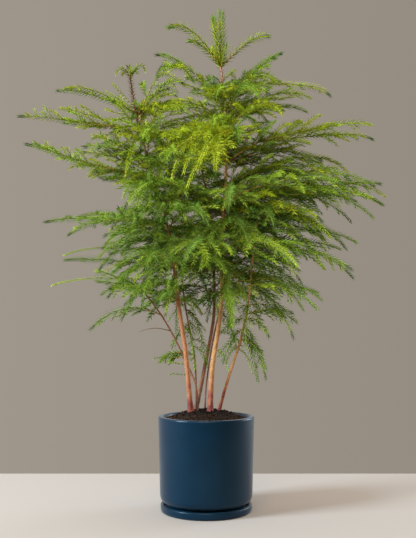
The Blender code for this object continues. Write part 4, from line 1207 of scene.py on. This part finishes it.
# What lights the plant, but isn't seen: the strength of walls round it, how bright they are from the front to the
# back, and the colour and strength of the warm light from above, low down and overhead
WALLS = 0.62
WALLS_ROUND = ((0.0, 0.02), (0.34, 0.05), (0.48, 0.9), (0.62, 1.0), (1.0, 0.8))
CEILING = (1.0, 0.66, 0.38, 1)
CEILING_LOW, CEILING_TOP = 0.06, 0.68
LIGHTS = (  # name, place, what it is aimed at, size, power in watts, colour
    ("key", (-3.45, -1.60, 2.05), (0, 0, 0.40), (1.2, 1.2), 276, (0.81, 0.93, 1.0)),
    ("fill", (-0.3, -2.7, 2.2), (0, 0, 0.55), (2.0, 2.0), 62, (1.0, 0.80, 0.62)),
    ("rim", (2.3, 1.3, 0.9), (0, 0, 0.4), (1.2, 1.6), 38, (0.74, 0.88, 1.0)),
)
CAMERA_PLACE = (0.0034, -1.5, 0.347)
CAMERA_TILT = 4.80  # degrees up from level
FOCAL_LENGTH = 50.19
SENSOR_WIDTH = 36


def make_stage():
    mesh = bpy.data.meshes.new("floor")
    mesh.from_pydata(FLOOR_CORNERS, [], [(0, 1, 2, 3)])
    mesh.materials.append(plain("floor_pale", FLOOR, 0.9, 0.05))
    placed("floor", mesh)


def make_world():
    """A taupe backdrop for the camera, lighter at the left as painted light, and a soft warm studio round the plant,
    pale at the sides and behind.
    """
    world = bpy.data.worlds.new("studio")
    bpy.context.scene.world = world
    world.use_nodes = True
    tree = world.node_tree
    tree.nodes.clear()
    x, y, z = node(tree, "SeparateXYZ", node(tree, "TexCoord").outputs["Generated"]).outputs
    across = node(tree, "MapRange", Value=x, From_Min=-BACKDROP_EDGE, From_Max=BACKDROP_EDGE).outputs["Result"]
    seen = node(tree, "Background", Color=ramp(tree, across, ((0, BACKDROP_LEFT), (1, BACKDROP_RIGHT))))
    behind = node(tree, "MapRange", Value=y, From_Min=-1.0, From_Max=1.0).outputs["Result"]
    pale = ramp(tree, behind, [(at, (level, 0.96 * level, 0.93 * level)) for at, level in WALLS_ROUND])
    walls = node(tree, "Background", Color=pale, Strength=WALLS)
    above = node(tree, "MapRange", Value=z, From_Min=0.1, From_Max=0.95, To_Min=CEILING_LOW, To_Max=CEILING_TOP)
    ceiling = node(tree, "Background", Color=CEILING, Strength=above.outputs["Result"])
    lit = node(tree, "AddShader", walls.outputs[0], ceiling.outputs[0])
    for_camera = node(tree, "LightPath").outputs["Is Camera Ray"]
    mix = node(tree, "MixShader", for_camera, lit.outputs[0], seen.outputs[0])
    node(tree, "OutputWorld", Surface=mix.outputs[0])


def area_light(name, place, target, size, power, colour):
    data = bpy.data.lights.new(name, "AREA")
    data.shape = "RECTANGLE"
    data.size, data.size_y = size
    data.energy = power
    data.color = colour
    light = placed(name, data)
    light.location = place
    light.rotation_euler = (Vector(target) - Vector(place)).to_track_quat("-Z", "Y").to_euler()


def make_camera():
    data = bpy.data.cameras.new("camera")
    data.lens = FOCAL_LENGTH
    data.sensor_width = SENSOR_WIDTH
    data.dof.use_dof = False
    camera = placed("camera", data)
    camera.location = CAMERA_PLACE
    camera.rotation_euler = (math.radians(90 + CAMERA_TILT), 0, 0)
    bpy.context.scene.camera = camera


def main():
    bpy.context.scene.view_settings.view_transform = "Standard"
    barks = {name: bark_finish("bark_" + name, *values) for name, values in BARKS.items()}
    branches, boughs = plan_branches()
    make_pot()
    make_soil()
    make_stems(barks)
    make_stem_marks()
    make_boughs(boughs, barks["copper"])
    make_foliage(branches)
    make_stage()
    make_world()
    for light in LIGHTS:
        area_light(*light)
    make_camera()


main()
